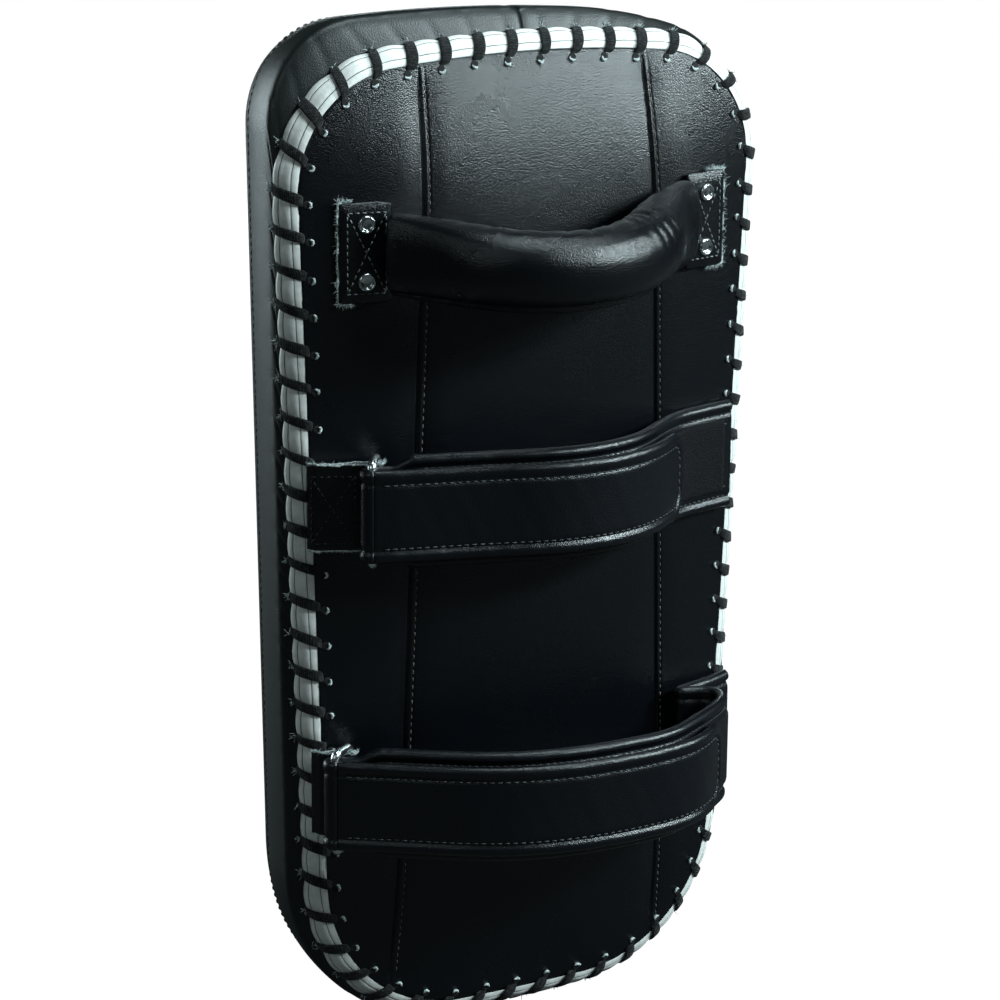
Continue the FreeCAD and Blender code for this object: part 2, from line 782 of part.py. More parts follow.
os.makedirs("parts", exist_ok=True)
for piece in SUB_PARTS:
    piece.Shape.exportStep("parts/%s.step" % piece.Label)
    bounds = piece.Shape.BoundBox
    print("%-18s %2d solids  volume %9.0f  x %6.1f %6.1f  y %6.1f %6.1f  z %6.1f %6.1f" % (
        piece.Label, len(piece.Shape.Solids), piece.Shape.Volume, bounds.XMin, bounds.XMax,
        bounds.YMin, bounds.YMax, bounds.ZMin, bounds.ZMax))
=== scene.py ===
import math

import bmesh
import bpy
import numpy as np
from mathutils import Matrix, Vector


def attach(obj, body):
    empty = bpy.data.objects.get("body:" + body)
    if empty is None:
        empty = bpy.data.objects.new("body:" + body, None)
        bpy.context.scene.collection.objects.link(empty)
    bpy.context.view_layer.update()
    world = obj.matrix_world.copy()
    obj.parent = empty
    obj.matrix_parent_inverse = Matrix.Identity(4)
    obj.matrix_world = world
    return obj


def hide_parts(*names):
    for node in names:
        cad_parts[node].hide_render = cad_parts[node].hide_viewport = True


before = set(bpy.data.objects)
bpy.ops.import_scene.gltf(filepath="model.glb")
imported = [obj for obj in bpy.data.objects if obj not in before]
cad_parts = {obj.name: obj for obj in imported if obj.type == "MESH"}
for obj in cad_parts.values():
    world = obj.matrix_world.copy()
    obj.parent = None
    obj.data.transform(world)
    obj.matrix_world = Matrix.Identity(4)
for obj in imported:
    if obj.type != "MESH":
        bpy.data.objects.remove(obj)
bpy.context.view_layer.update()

# ---------------------------------------------------------------- studio
# The pad stands on a plain pale floor, seen from the holder's side, from the
# left and a little above. A soft light hangs above it, a smaller one stands on
# the right, and a white panel behind the left shoulder lights the side wall.

camera_data = bpy.data.cameras.new("camera")
camera_data.sensor_width = 36
camera_data.lens = 121.4
camera_data.clip_end = 60
camera = bpy.data.objects.new("camera", camera_data)
camera.matrix_world = (
    Matrix.Translation((-0.6375, -1.0885, 0.5568))
    @ Matrix.Rotation(math.radians(-30), 4, "Z")
    @ Matrix.Rotation(math.radians(90 - 15.3), 4, "X")
    @ Matrix.Rotation(math.radians(0.5), 4, "Z")
)
bpy.context.scene.collection.objects.link(camera)
bpy.context.scene.camera = camera
bpy.context.scene.view_settings.view_transform = "Standard"

# The room gives a faint even light, and looks as white as the floor.
world = bpy.data.worlds.new("studio")
world.use_nodes = True
faint_light = world.node_tree.nodes["Background"]
faint_light.inputs["Color"].default_value = (0.85, 0.97, 1, 1)
faint_light.inputs["Strength"].default_value = 0.03
white_room = world.node_tree.nodes.new("ShaderNodeBackground")
white_room.inputs["Color"].default_value = (1, 1, 1, 1)
room = world.node_tree.nodes.new("ShaderNodeMixShader")
room_seen = world.node_tree.nodes.new("ShaderNodeLightPath").outputs["Is Camera Ray"]
world.node_tree.links.new(room_seen, room.inputs["Fac"])
world.node_tree.links.new(faint_light.outputs[0], room.inputs[1])
world.node_tree.links.new(white_room.outputs[0], room.inputs[2])
world.node_tree.links.new(room.outputs[0], world.node_tree.nodes["World Output"].inputs["Surface"])
bpy.context.scene.world = world


def soft_light(name, place, aim, width, height, power, tint):
    """An area light of that width and height in metres, turned to face its aim."""
    data = bpy.data.lights.new(name, "AREA")
    data.shape = "RECTANGLE"
    data.size = width
    data.size_y = height
    data.energy = power
    data.color = tint
    lamp = bpy.data.objects.new(name, data)
    lamp.location = place
    lamp.visible_camera = False
    lamp.rotation_euler = (Vector(aim) - Vector(place)).to_track_quat("-Z", "Y").to_euler()
    bpy.context.scene.collection.objects.link(lamp)


cool_white = (0.82, 0.99, 1.03)
soft_light("overhead", (0.25, -0.35, 1.75), (0, -0.05, 0.3), 0.7, 0.4, 12, cool_white)
soft_light("front_right", (0.80, -1.20, 1.10), (0, 0, 0.36), 0.42, 0.22, 17, cool_white)
soft_light("right_side", (1.19, -0.74, 0.86), (0, 0, 0.32), 0.30, 0.26, 20, cool_white)
soft_light("behind_left", (-0.90, 1.42, 0.44), (-0.1, 0, 0.30), 0.9, 0.74, 14, cool_white)
soft_light("left_front", (-1.5, -0.8, 1.2), (0, 0, 0.25), 0.6, 0.6, 2.5, cool_white)
soft_light("behind", (0.85, 1.6, 0.25), (0, 0, 0.2), 0.8, 0.5, 9, cool_white)

# The floor looks white, and throws little light back up at the black leather.
floor_reach = 14
floor_mesh = bpy.data.meshes.new("floor")
floor_mesh.from_pydata(
    [(x * floor_reach, y * floor_reach, -0.0006) for x, y in ((-1, -1), (1, -1), (1, 1), (-1, 1))],
    [], [(0, 1, 2, 3)])
floor = bpy.data.objects.new("floor", floor_mesh)
bpy.context.scene.collection.objects.link(floor)
floor_paint = bpy.data.materials.new("floor_paint")
floor_paint.use_nodes = True
floor_tree = floor_paint.node_tree
floor_shader = floor_tree.nodes["Principled BSDF"]
floor_seen = floor_tree.nodes.new("ShaderNodeLightPath").outputs["Is Camera Ray"]
floor_tree.links.new(floor_seen, floor_shader.inputs["Emission Strength"])
floor_shader.inputs["Emission Color"].default_value = (1, 1, 1, 1)
floor_shader.inputs["Base Color"].default_value = (0.06, 0.06, 0.06, 1)
floor_shader.inputs["Roughness"].default_value = 1
floor_shader.inputs["Specular IOR Level"].default_value = 0
floor_mesh.materials.append(floor_paint)

# ---------------------------------------------------------------- strike cover
# The cover of the face that takes the kicks: one sheet of black artificial
# leather pulled over thick foam. The foam makes it bulge like a cushion, and
# it is sewn to the side walls all round, with a row of stitches by the seam.

back_plane = -0.005
lace_shape = dict(half_top=0.0975, half_low=0.083, low=0.0125, high=0.385,
                  round_top=0.042, round_low=0.059, bow_top=0.0088, bow_low=0.0031)
wall_shape = dict(half_top=0.1055, half_low=0.098, low=0.0, high=0.402,
                  round_top=0.040, round_low=0.075, bow_top=0.008, bow_low=0.010)
sharpest_corner = 0.009


def turn_between(centre, radius, start, end, share):
    """Points on a circle: the centre plus the radius at an angle from start to end."""
    angle = start + (end - start) * share
    return np.stack([centre[0] + radius * np.cos(angle), centre[1] + radius * np.sin(angle)], -1)


def corner_of(foot, side, inward, radius, middle, bow, way):
    """Centre of the round corner that touches the side line and the bowed end.

    It lies one radius inside the side line, where its distance from the bow's
    middle is the bow's radius less its own: the root of a quadratic."""
    start = foot + inward * radius - middle
    along = start @ side
    reach = math.sqrt(along ** 2 - start @ start + (bow - radius) ** 2)
    return middle + start + side * (way * reach - along)


def outline(shape, inset, stations):
    """The pad's outline seen along Y, as x and z.

    Stations 0 to 10 run clockwise from the top's middle: half the bowed top, a
    round corner, the straight side, a round corner, half the bowed bottom, then
    the same five stretches mirrored. Inset moves every stretch inwards."""
    side = np.array([shape["half_top"] - shape["half_low"], shape["high"] - shape["low"]])
    side = side / np.linalg.norm(side)
    inward = np.array([-side[1], side[0]])
    foot = np.array([shape["half_low"], shape["low"]]) + inward * inset
    top_bow = (shape["half_top"] ** 2 + shape["bow_top"] ** 2) / (2 * shape["bow_top"])
    low_bow = (shape["half_low"] ** 2 + shape["bow_low"] ** 2) / (2 * shape["bow_low"])
    top_middle = np.array([0, shape["high"] - top_bow])
    low_middle = np.array([0, shape["low"] + low_bow])
    top_round = max(shape["round_top"] - inset, sharpest_corner)
    low_round = max(shape["round_low"] - inset, sharpest_corner)
    top_corner = corner_of(foot, side, inward, top_round, top_middle, top_bow - inset, 1)
    low_corner = corner_of(foot, side, inward, low_round, low_middle, low_bow - inset, -1)
    top_angle = math.atan2(*(top_corner - top_middle)[::-1])
    low_angle = math.atan2(*(low_corner - low_middle)[::-1])
    side_angle = math.atan2(-inward[1], -inward[0])
    half = np.where(stations > 5, 10 - stations, stations)
    share = half - np.clip(np.floor(half), 0, 4)
    top_end = top_corner - inward * top_round
    low_end = low_corner - inward * low_round
    stretches = [
        turn_between(top_middle, top_bow - inset, math.pi / 2, top_angle, share),
        turn_between(top_corner, top_round, top_angle, side_angle, share),
        top_end + (low_end - top_end) * share[..., None],
        turn_between(low_corner, low_round, side_angle, low_angle, share),
        turn_between(low_middle, low_bow - inset, low_angle, -math.pi / 2, share),
    ]
    which = np.clip(np.floor(half), 0, 4).astype(int)
    points = np.choose(which[..., None], stretches)
    points[..., 0] *= np.where(stations > 5, -1, 1)
    return points


def run_along(points):
    """Distance along a line to each of its points: the lengths of the steps, added up."""
    return np.concatenate([[0], np.cumsum(np.linalg.norm(np.diff(points, axis=0), axis=1))])


def unit(vectors):
    """Each vector divided by its own length."""
    return vectors / np.linalg.norm(vectors, axis=-1, keepdims=True)


def even_stations(count, start=0.0):
    """Stations that divide the lace line into equal lengths, from a share of one length on."""
    fine = np.linspace(0, 10, 4001)
    points = outline(lace_shape, 0, fine)
    length = run_along(points)
    return np.interp((np.arange(count) + start) / count * length[-1], length, fine)


lace_count = 72
lace_start = 0.5
lace_stations = even_stations(lace_count, lace_start)


def lace_phase(stations):
    """Distance to the nearest turn of lace, in shares of the pitch, from 0 to a half."""
    fine = even_stations(lace_count * 8)
    turns = np.interp(stations % 10, np.append(fine, 10), np.arange(lace_count * 8 + 1) / 8)
    off = (turns - lace_start) % 1
    return np.minimum(off, 1 - off)


def surface(name, points, loop_rows=False, loop_columns=False, inner=(0, 0.03, 0.2),
            texture=None, merge=0.0):
    """A mesh of four-sided faces over a grid of points, shaped (rows, columns, 3).

    A looped direction joins its last row or column to its first. The faces look
    away from the inner point. Texture gives each grid point a place on the
    cloth, kept as the UV map. Points nearer than merge become one."""
    rows, columns = points.shape[:2]
    index = np.arange(rows * columns).reshape(rows, columns)
    if loop_rows:
        index = np.vstack([index, index[:1]])
    if loop_columns:
        index = np.hstack([index, index[:, :1]])
    corners = [index[:-1, :-1], index[1:, :-1], index[1:, 1:], index[:-1, 1:]]
    faces = np.stack(corners, -1).reshape(-1, 4)
    spots = points.reshape(-1, 3)[faces]
    facing = np.cross(spots[:, 2] - spots[:, 0], spots[:, 3] - spots[:, 1])
    if np.sum(facing * (spots.mean(1) - inner)) < 0:
        faces = faces[:, ::-1]
    mesh = bpy.data.meshes.new(name)
    mesh.from_pydata(points.reshape(-1, 3).tolist(), [], faces.tolist())
    if texture is not None:
        layer = mesh.uv_layers.new(name="cloth")
        layer.data.foreach_set("uv", texture.reshape(-1, 2)[faces.ravel()].astype(np.float32).ravel())
    if merge:
        close_up(mesh, merge)
    return show(name, mesh)


def close_up(mesh, gap):
    """Merges points nearer than the gap and drops faces that have no area."""
    work = bmesh.new()
    work.from_mesh(mesh)
    bmesh.ops.remove_doubles(work, verts=work.verts, dist=gap)
    bmesh.ops.dissolve_degenerate(work, edges=work.edges, dist=gap / 4)
    work.to_mesh(mesh)
    work.free()


def show(name, mesh):
    """Puts a mesh into the scene, smooth shaded."""
    mesh.polygons.foreach_set("use_smooth", np.ones(len(mesh.polygons), bool))
    mesh.update()
    piece = bpy.data.objects.new(name, mesh)
    bpy.context.scene.collection.objects.link(piece)
    return piece


def thicken(piece, depth):
    """Gives a skin its thickness, on the side away from its faces."""
    wall = piece.modifiers.new("thickness", "SOLIDIFY")
    wall.thickness = depth
    wall.offset = -1
    wall.use_rim = True


def fit_piece(piece, material, body, slot, *nodes):
    """Finishes a piece: its material, the body it moves with and the nodes it stands for; the slot is not
    used.
    """
    piece.data.materials.clear()
    piece.data.materials.append(material)
    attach(piece, body)
    if nodes:
        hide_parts(*nodes)
    return piece


def points_of(mesh, field="co"):
    """A mesh's points, or their normals, shaped (points, 3)."""
    values = np.empty(len(mesh.vertices) * 3)
    mesh.vertices.foreach_get(field, values)
    return values.reshape(-1, 3)


cloth_steps = 20
inward_stop = 0.9


def inflate(piece, sewn, pressure, furthest):
    """Blows a skin up as cloth, with its sewn points held, and keeps the result.

    No point moves further than the limit given, and most of any move towards
    the foam is taken back, because the foam fills the space behind the skin."""
    before = points_of(piece.data)
    held = piece.vertex_groups.new(name="sewn")
    held.add(np.nonzero(sewn)[0].tolist(), 1.0, "ADD")
    cloth = piece.modifiers.new("cloth", "CLOTH")
    cloth.settings.vertex_group_mass = "sewn"
    cloth.settings.use_pressure = True
    cloth.settings.uniform_pressure_force = pressure
    cloth.settings.effector_weights.gravity = 0
    cloth.settings.quality = 6
    cloth.settings.mass = 0.4
    cloth.settings.tension_stiffness = 12
    cloth.settings.compression_stiffness = 12
    cloth.settings.bending_stiffness = 2
    cloth.point_cache.frame_start = 1
    cloth.point_cache.frame_end = cloth_steps
    for step in range(1, cloth_steps + 1):
        bpy.context.scene.frame_set(step)
    settled = piece.evaluated_get(bpy.context.evaluated_depsgraph_get()).data
    move = points_of(settled) - before
    length = np.linalg.norm(move, axis=1, keepdims=True)
    move *= np.minimum(1, furthest / np.maximum(length, 1e-9))
    outward = points_of(piece.data, "normal")
    move -= outward * np.minimum(np.sum(move * outward, axis=1, keepdims=True), 0) * inward_stop
    piece.modifiers.remove(cloth)
    piece.vertex_groups.remove(held)
    bpy.context.scene.frame_set(1)
    result = before + move
    piece.data.vertices.foreach_set("co", result.ravel())
    piece.data.update()
    return result


def tube_mesh(name, points):
    """Closed tubes in one mesh, from points shaped (tubes, steps, ring, 3)."""
    tubes, steps, ring = points.shape[:3]
    index = np.arange(tubes * steps * ring).reshape(tubes, steps, ring)
    around = np.roll(index, -1, axis=2)
    faces = np.stack([index[:, :-1], around[:, :-1], around[:, 1:], index[:, 1:]], -1).reshape(-1, 4)
    ends = np.concatenate([index[:, 0, ::-1], index[:, -1]]).tolist()
    mesh = bpy.data.meshes.new(name)
    mesh.from_pydata(points.reshape(-1, 3).tolist(), [], faces.tolist() + ends)
    work = bmesh.new()
    work.from_mesh(mesh)
    bmesh.ops.recalc_face_normals(work, faces=work.faces)
    work.to_mesh(mesh)
    work.free()
    return mesh


def show_tubes(name, points):
    """Puts closed tubes into the scene."""
    return show(name, tube_mesh(name, points))


def small_tubes(name, route, radius, sides=5):
    """Many short tubes in one mesh, such as stitches or loose fibres.

    Route is shaped (tubes, points, 3). Each tube's section is a circle whose
    radius is given for every point, and its ends close to a point."""
    heading = np.gradient(route, axis=1)
    heading /= np.maximum(np.linalg.norm(heading, axis=2, keepdims=True), 1e-12)
    helper = np.where(np.abs(heading[..., 1:2]) < 0.8, [[[0, 1.0, 0]]], [[[0, 0, 1.0]]])
    first = unit(np.cross(heading, helper))
    second = np.cross(heading, first)
    angle = np.arange(sides) / sides * 2 * np.pi
    circle = first[:, :, None] * np.cos(angle)[:, None] + second[:, :, None] * np.sin(angle)[:, None]
    thick = np.broadcast_to(radius, route.shape[:2])[:, :, None, None]
    return show_tubes(name, route[:, :, None] + circle * thick)


def stitches(name, path, size, yarn, body="pad", slot="leather"):
    """Sews a row of stitches along a path: each is a short bar whose ends dip in.

    The path is (points, 6): a place and the direction out of the leather. The
    size is the pitch, the stitch's length and the thread's radius."""
    pitch, length, radius = size
    place = path[:, :3]
    run = run_along(place)
    count = int(run[-1] / pitch)
    middles = (np.arange(count) + 0.5) * run[-1] / count
    at = middles[:, None] + np.array([-0.5, -0.3, 0, 0.3, 0.5]) * length
    route = np.stack([np.interp(at, run, path[:, k]) for k in range(3)], -1)
    out = np.stack([np.interp(at, run, path[:, k + 3]) for k in range(3)], -1)
    dip = np.array([-1.0, 0.35, 0.8, 0.35, -1.0])[None, :, None] * radius
    row = small_tubes(name, route + out * dip, radius * np.array([0.55, 1, 1, 1, 0.55]))
    fit_piece(row, yarn, body, slot)


def facing_holder(places):
    """A path for stitches on leather that faces the holder."""
    return np.hstack([places, np.tile([0, -1.0, 0], (len(places), 1))])


def new_material(name, colour, roughness):
    """A material with its shader's plain values: the material, its tree and its shader."""
    material = bpy.data.materials.new(name)
    material.use_nodes = True
    shader = material.node_tree.nodes["Principled BSDF"]
    shader.inputs["Base Color"].default_value = (*colour, 1)
    shader.inputs["Roughness"].default_value = roughness
    return material, material.node_tree, shader


def new_group(name, inputs, outputs):
    """A shader node group with named number inputs and number outputs."""
    group = bpy.data.node_groups.new(name, "ShaderNodeTree")
    for label, value in inputs.items():
        socket = group.interface.new_socket(label, in_out="INPUT", socket_type="NodeSocketFloat")
        socket.default_value = value
    for label in outputs:
        group.interface.new_socket(label, in_out="OUTPUT", socket_type="NodeSocketFloat")
    return group, group.nodes.new("NodeGroupInput"), group.nodes.new("NodeGroupOutput")


def place_group(tree, group, **values):
    """Puts a group into a material with its own values, named with _ for spaces."""
    node = tree.nodes.new("ShaderNodeGroup")
    node.node_tree = group
    for label, value in values.items():
        node.inputs[label.replace("_", " ")].default_value = value
    return node


def calculate(tree, kind, first, second=0.0):
    """One Math node fed by sockets or plain numbers."""
    node = tree.nodes.new("ShaderNodeMath")
    node.operation = kind
    for socket, value in zip(node.inputs, (first, second)):
        if isinstance(value, (int, float)):
            socket.default_value = value
        else:
            tree.links.new(value, socket)
    return node.outputs[0]


def pattern(tree, kind, scale, detail=None, **settings):
    """A procedural texture at one scale, fixed to the object's own coordinates."""
    node = tree.nodes.new(kind)
    source = tree.nodes.new("ShaderNodeTexCoord").outputs["Object"]
    for label, value in settings.items():
        setattr(node, label, value)
    tree.links.new(source, node.inputs["Vector"])
    if isinstance(scale, (int, float)):
        node.inputs["Scale"].default_value = scale
    else:
        tree.links.new(scale, node.inputs["Scale"])
    if detail is not None:
        node.inputs["Detail"].default_value = detail
    return node


def ramp(tree, value, low, high, from_low=0.0, from_high=1.0):
    """Maps a value from one range to another, held at the ends."""
    node = tree.nodes.new("ShaderNodeMapRange")
    tree.links.new(value, node.inputs["Value"])
    limits = {"From Min": from_low, "From Max": from_high, "To Min": low, "To Max": high}
    for label, number in limits.items():
        node.inputs[label].default_value = number
    return node.outputs["Result"]


def blend_colours(tree, factor, first, second):
    """Runs from the first to the second colour, plain or linked, as the factor rises."""
    node = tree.nodes.new("ShaderNodeMix")
    node.data_type = "RGBA"
    tree.links.new(factor, node.inputs["Factor"])
    for socket, colour in ((node.inputs[6], first), (node.inputs[7], second)):
        if isinstance(colour, tuple):
            socket.default_value = (*colour, 1)
        else:
            tree.links.new(colour, socket)
    return node.outputs[2]


def add_bump(tree, shader, height, depth, strength=1.0):
    """Feeds a height, in shares of the depth in metres, to the shader's normal."""
    bump = tree.nodes.new("ShaderNodeBump")
    bump.inputs["Distance"].default_value = depth
    bump.inputs["Strength"].default_value = strength
    tree.links.new(height, bump.inputs["Height"])
    tree.links.new(bump.outputs["Normal"], shader.inputs["Normal"])


grain_group, grain_in, grain_out = new_group(
    "leather grain", {"Pebbles per metre": 1000.0, "Crease": 0.5}, ("Height", "Rub"))
pebbles = pattern(grain_group, "ShaderNodeTexVoronoi", grain_in.outputs["Pebbles per metre"])
creases = pattern(grain_group, "ShaderNodeTexNoise", 330, 4.0)
rubbed = pattern(grain_group, "ShaderNodeTexNoise", 24, 6.0)
grain_height = calculate(
    grain_group, "SUBTRACT",
    calculate(grain_group, "MULTIPLY", creases.outputs["Fac"], grain_in.outputs["Crease"]),
    pebbles.outputs["Distance"])
grain_group.links.new(grain_height, grain_out.inputs["Height"])
grain_group.links.new(ramp(grain_group, rubbed.outputs["Fac"], 0, 1, 0.35, 0.7), grain_out.inputs["Rub"])


def leather(name, dark, pale, gloss, shine, pebbles_per_metre, depth):
    """Artificial leather: a pebble grain pressed into a soft coat, rubbed smoother in places."""
    material, tree, shader = new_material(name, dark, gloss)
    grain = place_group(tree, grain_group, Pebbles_per_metre=pebbles_per_metre)
    tree.links.new(blend_colours(tree, grain.outputs["Rub"], dark, pale), shader.inputs["Base Color"])
    rubbed_gloss = ramp(tree, grain.outputs["Rub"], gloss + 0.015, gloss - 0.015)
    tree.links.new(rubbed_gloss, shader.inputs["Roughness"])
    shader.inputs["Specular IOR Level"].default_value = shine
    add_bump(tree, shader, grain.outputs["Height"], depth)
    return material


panel_blacks = (0.0008, 0.0014, 0.0025), (0.0013, 0.0022, 0.0036)
# The wall and cover leathers are the panels' black leather with paler, teal-tinted bases: painted sheen
# standing in for the light that catches the sides, stronger on the walls.
wall_blacks_painted_sheen = (0.0045, 0.0065, 0.0064), (0.007, 0.0098, 0.0096)
cover_blacks_painted_sheen = (0.0025, 0.0036, 0.0036), (0.004, 0.0056, 0.0056)
wall_leather_painted_sheen = leather("wall_leather_painted_sheen", *wall_blacks_painted_sheen, 0.42, 0.50, 1700, 0.00006)
cover_leather_painted_sheen = leather("cover_leather_painted_sheen", *cover_blacks_painted_sheen, 0.50, 0.28, 1700, 0.00006)
panel_leather = leather("panel_leather", *panel_blacks, 0.27, 0.50, 1900, 0.00011)

thread_group, thread_in, thread_out = new_group(
    "twisted thread", {"Twists per metre": 900.0}, ("Height", "Soil"))
twist = pattern(thread_group, "ShaderNodeTexWave", thread_in.outputs["Twists per metre"],
                wave_type="BANDS", bands_direction="DIAGONAL")
soil = pattern(thread_group, "ShaderNodeTexNoise", 420, 3.0)
thread_group.links.new(twist.outputs["Fac"], thread_out.inputs["Height"])
thread_group.links.new(ramp(thread_group, soil.outputs["Fac"], 0, 1, 0.3, 0.7), thread_out.inputs["Soil"])


def thread(name, dark, pale):
    """Sewing thread: twisted yarn, paler where it rubs."""
    material, tree, shader = new_material(name, dark, 0.7)
    yarn = place_group(tree, thread_group, Twists_per_metre=900.0)
    tree.links.new(blend_colours(tree, yarn.outputs["Soil"], dark, pale), shader.inputs["Base Color"])
    add_bump(tree, shader, yarn.outputs["Height"], 0.00008)
    return material


beige_thread = thread("beige_thread", (0.05, 0.040, 0.032), (0.20, 0.17, 0.15))
dark_thread = thread("dark_thread", (0.003, 0.0035, 0.004), (0.018, 0.020, 0.021))
pale_thread = thread("pale_thread", (0.04, 0.045, 0.045), (0.34, 0.37, 0.36))
grey_thread = thread("grey_thread", (0.012, 0.014, 0.016), (0.09, 0.10, 0.105))

wall_thick = 0.0015
seam_depth = 0.035
full_depth = 0.012
strike_depth = 0.079
dome_inset = 0.060
strip_spread = 0.006
strip_depth = 0.007
panel_margin = 0.002
top_lean = 0.0045
right_drop = 0.0065


def lean_over(points):
    """Lifts the pad's upper left corner and lowers its upper right one, behind the lace."""
    high = np.clip((points[..., 2] - 0.32) / 0.08, 0, 1)
    deep = np.clip((points[..., 1] - back_plane - strip_depth) / 0.006, 0, 1)
    right = np.clip((points[..., 0] - 0.025) / 0.05, 0, 1.3)
    drop = top_lean * points[..., 0] / 0.1 + right_drop * right * right
    points[..., 2] -= drop * high * high * (3 - 2 * high) * deep
    return points


def wall_ring(depth, stations):
    """Points round the rounded front at a depth behind the lace plane.

    The front falls inwards along a quarter of an ellipse from the depth where
    the pad is widest."""
    fall = 1 - math.sqrt(max(0, 1 - (max(0, depth - full_depth) / (strike_depth - full_depth)) ** 2))
    flat = outline(wall_shape, dome_inset * fall, stations)
    return lean_over(np.stack([flat[:, 0], np.full(len(flat), back_plane + depth), flat[:, 1]], -1))


cover_stations = even_stations(200)
first_angle = math.asin((seam_depth - full_depth) / (strike_depth - full_depth))
cover_depths = full_depth + (strike_depth - full_depth) * np.sin(np.linspace(first_angle, math.pi / 2, 15))
dome = np.stack([wall_ring(depth, cover_stations) for depth in cover_depths])
spine = dome[-1:] * [[[0, 1, 1]]]
spine[..., 2] = np.clip(spine[..., 2], 0.105, 0.30)
flat_face = spine + (dome[-1:] - spine) * np.linspace(0.91, 0, 11)[:, None, None]
cover_points = np.concatenate([dome, flat_face])
strike_cover = surface("strike_cover_skin", cover_points, loop_columns=True, merge=0.0012)
sewn_edge = points_of(strike_cover.data)[:, 1] < back_plane + seam_depth + 0.0005
inflate(strike_cover, sewn_edge, 9, 0.004)
thicken(strike_cover, wall_thick)
rounding = strike_cover.modifiers.new("rounding", "SUBSURF")
rounding.levels = 1
rounding.render_levels = 1
fit_piece(strike_cover, cover_leather_painted_sheen, "pad", "leather", "strike_cover")


def along_wall(depth, stations):
    """A line round the pad at a depth, with the direction out of the leather, for stitches."""
    line = wall_ring(depth, stations)
    inner = wall_ring(depth + 0.002, stations) - wall_ring(depth - 0.002, stations)
    way = np.roll(line, -1, axis=0) - np.roll(line, 1, axis=0)
    out = unit(np.cross(way, inner))
    out *= np.sign(np.sum(out * (line - [0, 0.02, 0.2]), axis=1, keepdims=True))
    return np.hstack([line, out])


long_stitch = (0.0031, 0.0021, 0.00026)
stitch_row = along_wall(seam_depth - 0.0030, even_stations(500))
stitches("cover_seam_stitches", stitch_row, long_stitch, beige_thread)

# ---------------------------------------------------------------- side walls
# Two gussets of the same leather run round the foam from the edge strip to the
# strike cover. They meet in a seam at the top and another at the bottom, and
# the lace puckers their edge at every turn.

wall_rows = 22
pucker_depth = 0.0007
seam_groove = 0.0009


def wall_surface(stations):
    """The gusset between the strip's outer edge and the strike cover's seam.

    A row at a depth is the rounded front's ring there. Up to the widest depth it
    is blended with the strip's edge by a quarter of a sine, so the wall leaves
    the strip sideways. A bell-shaped pucker at every turn of lace pulls it in."""
    edge = outline(lace_shape, -panel_margin - strip_spread, stations)
    edge = np.stack([edge[:, 0], np.full(len(stations), back_plane + strip_depth), edge[:, 1]], -1)
    middle = np.array([0, 0.03, 0.2])
    rows = []
    for share in np.linspace(0, 1, wall_rows) ** 1.5:
        depth = strip_depth + (seam_depth - strip_depth) * share
        ring = wall_ring(max(depth, full_depth), stations)
        lean = min(1, (depth - strip_depth) / (full_depth - strip_depth))
        row = edge + (ring - edge) * math.sin(lean * math.pi / 2)
        row[:, 1] = back_plane + depth
        inwards = middle - row
        inwards[:, 1] = 0
        inwards = unit(inwards)
        bell = np.exp(-(lace_phase(stations) / 0.14) ** 2)
        pull = pucker_depth * bell * math.exp(-(share / 0.16) ** 2)
        to_seam = np.minimum(np.abs(stations - 5), np.minimum(stations, 10 - stations))
        pull = pull + seam_groove * np.exp(-(to_seam / 0.025) ** 2)
        pull = pull + seam_groove * math.exp(-((1 - share) / 0.05) ** 2)
        rows.append(row + inwards * pull[:, None])
    return np.stack(rows)


for name, first, last in (("right", 0, 5), ("left", 5, 10)):
    every = even_stations(1000)
    every = np.concatenate([[first], every[(every > first + 0.003) & (every < last - 0.003)], [last - 1e-9]])
    gusset = surface("side_wall_" + name + "_skin", wall_surface(every))
    thicken(gusset, wall_thick)
    fit_piece(gusset, wall_leather_painted_sheen, "pad", "leather", "side_wall_" + name)

# ---------------------------------------------------------------- back panels
# Three leather panels, sewn together along two slanted seams, close the
# holder's side. Foam makes them bulge. Each seam is turned under on one side,
# stands up as a thin ridge on the other, and has a row of stitches beside it.

panel_thick = 0.0012
panel_stitch = (0.0030, 0.0018, 0.00022)
panel_crown = 0.0135
seam_half_top = 0.047
seam_half_low = 0.0613
pad_tall = 0.420
cell = 0.0025


def crown_height(across, up):
    """How far the foam lifts the panels at points x and z, before the leather is pulled on.

    It grows with the distance to the panels' edge, along a parabola that is flat
    at the crown, and is then evened out by averaging each point's neighbours."""
    edge = outline(lace_shape, -panel_margin, np.linspace(0, 10, 601)[:-1])
    grid_x, grid_z = np.meshgrid(across, up, indexing="ij")
    gap = np.full(grid_x.shape, 1.0)
    for start in range(0, 600, 50):
        part = edge[start:start + 50]
        off = np.hypot(grid_x[..., None] - part[:, 0], grid_z[..., None] - part[:, 1])
        gap = np.minimum(gap, off.min(-1))
    rim = edge[edge[:, 0] >= 0]
    rim = rim[np.argsort(rim[:, 1])]
    inside = np.abs(grid_x) < np.interp(grid_z, rim[:, 1], rim[:, 0], left=0, right=0)
    share = np.clip(gap / lace_shape["half_top"], 0, 1)
    height = np.where(inside, panel_crown * (1 - (1 - share) ** 2), 0)
    for _ in range(60):
        beside = np.roll(height, 1, 0) + np.roll(height, -1, 0)
        mean = (beside + np.roll(height, 1, 1) + np.roll(height, -1, 1)) / 4
        height = np.where(inside & (gap > 0.004), mean, height)
    return height, inside


def seam_half(z):
    """Half the distance between the two seams at a height."""
    return seam_half_low + (seam_half_top - seam_half_low) * z / pad_tall


